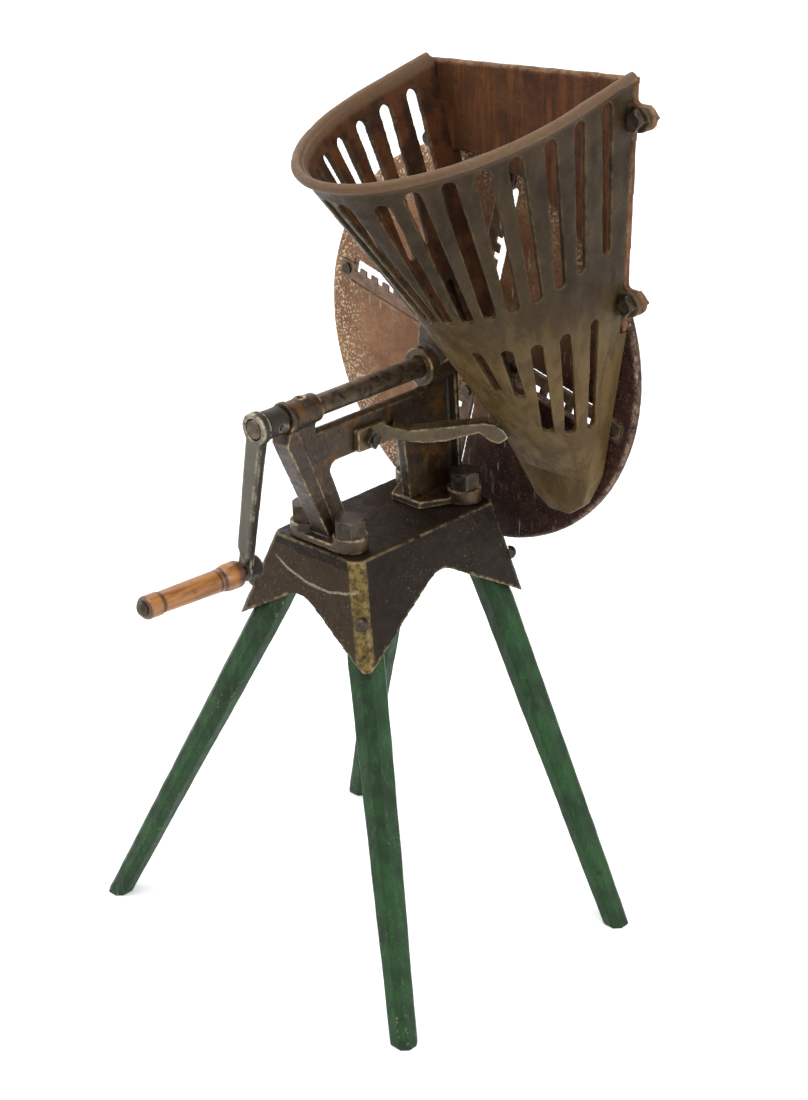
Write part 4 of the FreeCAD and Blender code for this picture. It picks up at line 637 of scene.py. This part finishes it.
def base_marks(finish, colour):
    """The scratch is where the height, less a shallow parabola over x and a little
    noise, is the scratch's height, on the front side only. The whole front side is also
    made paler: painted light. The brassy strip is where x less y, plus a part of the
    height for the corner's lean, is past its start."""
    x, y, z = [finish.axis(name) for name in "XYZ"]
    run = finish.math("SUBTRACT", x, SCRATCH_MIDDLE)
    bend = finish.math("MULTIPLY", finish.math("MULTIPLY", run, run), SCRATCH_BEND)
    curve = finish.math("ADD", bend, finish.math("MULTIPLY", run, SCRATCH_LEAN))
    wobble = finish.math("MULTIPLY", finish.noise(6), SCRATCH_WOBBLE)
    level = finish.math("SUBTRACT", z, finish.math("ADD", curve, wobble))
    front = finish.math("LESS_THAN", y, FRONT_Y)
    inside = finish.times(finish.span(x, *SCRATCH_LEFT), finish.span(x, *SCRATCH_RIGHT), front)
    line = finish.times(finish.near(level, SCRATCH_HEIGHT, 0.75), finish.patches(1.0, 0.34, 0.5), inside)
    # painted light: the whole front side of the base is made paler, as if lit
    colour = finish.mix(finish.times(front, 0.55), colour, paint(66, 50, 32))
    slant = finish.math("MULTIPLY", finish.math("SUBTRACT", z, CORNER_FOOT), CORNER_LEAN)
    reach = finish.math("ADD", finish.math("SUBTRACT", x, y), slant)
    corner = finish.span(reach, CORNER_START, CORNER_FULL)
    brassy = finish.mix(finish.patches(2.2, 0.4, 0.6, 6), paint(84, 70, 38), paint(132, 112, 62))
    colour = finish.mix(finish.times(corner, finish.patches(2.5, 0.25, 0.5, 6), 0.8), colour, brassy)
    flecked = finish.patches(20, 0.4, 0.6)
    colour = specks(finish, colour, paint(176, 166, 130), flecked, 0.8, 0.62, 0.4)
    return finish.mix(finish.times(line, 0.8), colour, paint(160, 146, 122))


print("scratch on the base at", SCRATCH_HEIGHT, "mm")

# %% Marks of the frame, and painted light on the crank
def frame_marks(finish, colour):
    """Ochre rust in warped patches."""
    ochre = finish.patches(8, 0.5, 0.66, 6, warp=0.6)
    return finish.mix(finish.times(ochre, 0.7), colour, paint(98, 66, 26))


def crank_lit_side(finish, colour):
    """Painted light: warm grey where the normal points along minus y, the crank's outer side."""
    normal = finish.add("ShaderNodeNewGeometry").outputs["Normal"]
    facing = finish.add("ShaderNodeSeparateXYZ", normal).outputs[1]
    # painted light: the outer side is made paler by the way it faces, not by a mark
    return finish.mix(finish.span(facing, -0.5, -0.9), colour, paint(88, 84, 72))


print("marks ready")

# %% [markdown]
# ## Colours of the castings
# Each casting gets its own four colours from the recipe: two for the clouds, one for
# rust and one for bare edges. The support arm is the palest and shines most, as a part
# that hands have polished would.

# %% Make the castings' finishes
shell_iron = casting("shell_iron", paint(40, 30, 18), paint(58, 46, 29), paint(62, 44, 24),
                     paint(124, 104, 72), marks=shell_marks, chips=0.4)
plate_iron = casting("plate_iron", paint(68, 44, 30), paint(92, 60, 38), paint(108, 66, 36),
                     paint(140, 112, 82), marks=plate_marks)
disc_iron = casting("disc_iron", paint(126, 90, 64), paint(150, 112, 82), paint(108, 68, 44),
                    paint(170, 146, 124), (0.42, 0.68), 0.1, marks=disc_marks)
base_iron = casting("base_iron", paint(24, 16, 11), paint(34, 25, 17), paint(44, 30, 17),
                    paint(156, 138, 100), marks=base_marks)
frame_iron = casting("frame_iron", paint(40, 29, 18), paint(60, 46, 29), paint(74, 50, 24),
                     paint(184, 166, 130), (0.26, 0.5), chips=0.85, shine=0.4, marks=frame_marks)
crank_iron = casting("crank_iron", paint(32, 27, 22), paint(46, 40, 32), paint(56, 44, 30),
                     paint(186, 174, 150), chips=0.9, shine=0.35, marks=crank_lit_side)
arm_iron = casting("arm_iron", paint(72, 58, 36), paint(98, 82, 55), paint(70, 48, 28),
                   paint(184, 166, 128), (0.2, 0.4), 0.3, shine=0.5)
print("castings:", [m.name for m in bpy.data.materials if m.name.endswith("iron")])

# %% [markdown]
# ## Steel
# Bolts, shaft and knives are steel with a dark skin. They keep the model's own solids,
# which carry no wear, so the recipe finds their edges another way: it compares the
# normal with one that is rounded off.

# %% Turned and forged steel
def steel(name, dark, light, rough=(0.3, 0.55), metallic=0.7):
    """Finish of a steel part: two tones in patches, and broken, paler edges."""
    finish = Finish(name)
    colour = finish.mix(finish.patches(4, 0.35, 0.65, detail=6), dark, light)
    colour = finish.mix(finish.times(finish.edges(0.5), finish.patches(1.5, 0.35, 0.6), 0.7), colour,
                        paint(150, 134, 108))
    roughness = finish.span(finish.noise(2, 4), 0.3, 0.7, rough[0], rough[1])
    return finish.done(colour, roughness, metallic, finish.bump(finish.noise(1.2, 4), 0.08))


bolt_steel = steel("bolt_steel", paint(46, 40, 34), paint(78, 68, 54))
shaft_steel = steel("shaft_steel", paint(64, 54, 44), paint(104, 88, 70), (0.25, 0.45))
knife_steel = steel("knife_steel", paint(84, 62, 46), paint(128, 100, 78), (0.35, 0.6), 0.4)
print("steels:", [m.name for m in bpy.data.materials if m.name.endswith("steel")])

# %% Put the finishes on
def coat(material, *names):
    """Give softened pieces their finish."""
    for name in names:
        worn[name].data.materials.append(material)


coat(shell_iron, "hopper_shell")
coat(plate_iron, "hopper_back_plate")
coat(disc_iron, "cutter_disc")
coat(base_iron, "base_casting")
coat(frame_iron, "frame_casting")
coat(arm_iron, "support_arm")
coat(crank_iron, "crank_arm")
wear_finish(shaft_steel, "shaft")
wear_finish(knife_steel, "knife_1", "knife_2", "knife_3", "knife_4")
wear_finish(bolt_steel, "leg_screws", "frame_bolts", "frame_square_bolt", "frame_nuts", "arm_bolt",
            "arm_nut", "hopper_bolts", "hopper_nuts", "horn_bolt", "knife_screws", "disc_washer",
            "disc_nut", "crank_hub_pin", "handle_pin")
print("softened pieces with a finish:", [name for name, piece in worn.items() if piece.data.materials])

# %% [markdown]
# ## Painted legs
# The legs are eight-sided sticks of wood under old green paint. The paint is rubbed
# through to dark wood and pale filler along the corners, with knots and long streaks.

# %% Green paint
green = Finish("green_paint")
lengthwise = green.stretched(1, 1, 0.12)
colour = green.mix(green.patches(12, 0.35, 0.65), paint(20, 44, 20), paint(32, 70, 33))
colour = green.mix(green.times(green.patches(1.5, 0.5, 0.75, 6), 0.55), colour, paint(20, 34, 20))
streaks = green.times(green.patches(2.0, 0.5, 0.72, 6, place=lengthwise), 0.45)
colour = green.mix(streaks, colour, paint(56, 94, 52))
colour = green.mix(green.times(green.patches(9, 0.66, 0.74, 3), 0.8), colour, paint(22, 26, 20))
rubbed = green.times(green.attribute("wear"), green.patches(6, 0.35, 0.6), 0.8)
colour = green.mix(rubbed, colour, paint(26, 30, 22))
chipped = green.times(green.attribute("wear"), green.patches(1.2, 0.56, 0.64, 4),
                      green.patches(26, 0.5, 0.62), 0.9)
colour = green.mix(chipped, colour, paint(168, 158, 112))
colour = specks(green, colour, paint(150, 160, 110), green.patches(16, 0.45, 0.65), 0.6, 0.64, 0.6)
roughness = green.span(green.noise(3), 0.3, 0.7, 0.34, 0.6)
brush_marks = green.bump(green.noise(1.4, 5, place=green.stretched(1, 1, 0.2)), 0.12)
leg_paint = green.done(colour, roughness, 0.0, brush_marks, specular=0.25)
coat(leg_paint, *LEGS)
print("painted:", LEGS)

# %% [markdown]
# ## Varnished grip
# The grip is turned wood under varnish. Its grain is noise drawn out along its length,
# and dark rings stand at shares of the way from its inner to its outer end. Each ring
# is given by that share and by how far it reaches to either side.

# %% Varnished wood
GRIP_INNER, GRIP_OUTER = -46.9, -92.1
RINGS = ((0.02, 0.08), (0.2, 0.0288), (0.245, 0.0192), (0.842, 0.032), (1.0, 0.048))

wood = Finish("grip_wood")
along = wood.stretched(1, 0.09, 1)
share = wood.span(wood.axis("Y"), GRIP_INNER, GRIP_OUTER)
share.node.interpolation_type = "LINEAR"
grained = wood.patches(1.6, 0.35, 0.7, 6, place=along, warp=0.6)
colour = wood.mix(grained, paint(166, 108, 46), paint(118, 70, 27))
colour = wood.mix(wood.times(wood.patches(0.5, 0.55, 0.75, 6, place=along), 0.6), colour, paint(96, 56, 26))
stained = wood.times(wood.patches(4, 0.55, 0.7, 5), wood.near(share, 0.45, 0.35), 0.6)
colour = wood.mix(stained, colour, paint(90, 52, 26))
for ring, half in RINGS:
    colour = wood.mix(wood.times(wood.near(share, ring, half), 0.85), colour, paint(52, 30, 18))
grip_wood = wood.done(colour, 0.34, 0.0, wood.bump(wood.noise(0.8, 5, place=along), 0.06), coat=0.25)
wear_finish(grip_wood, "handle_grip")
print("rings on the grip:", len(RINGS))
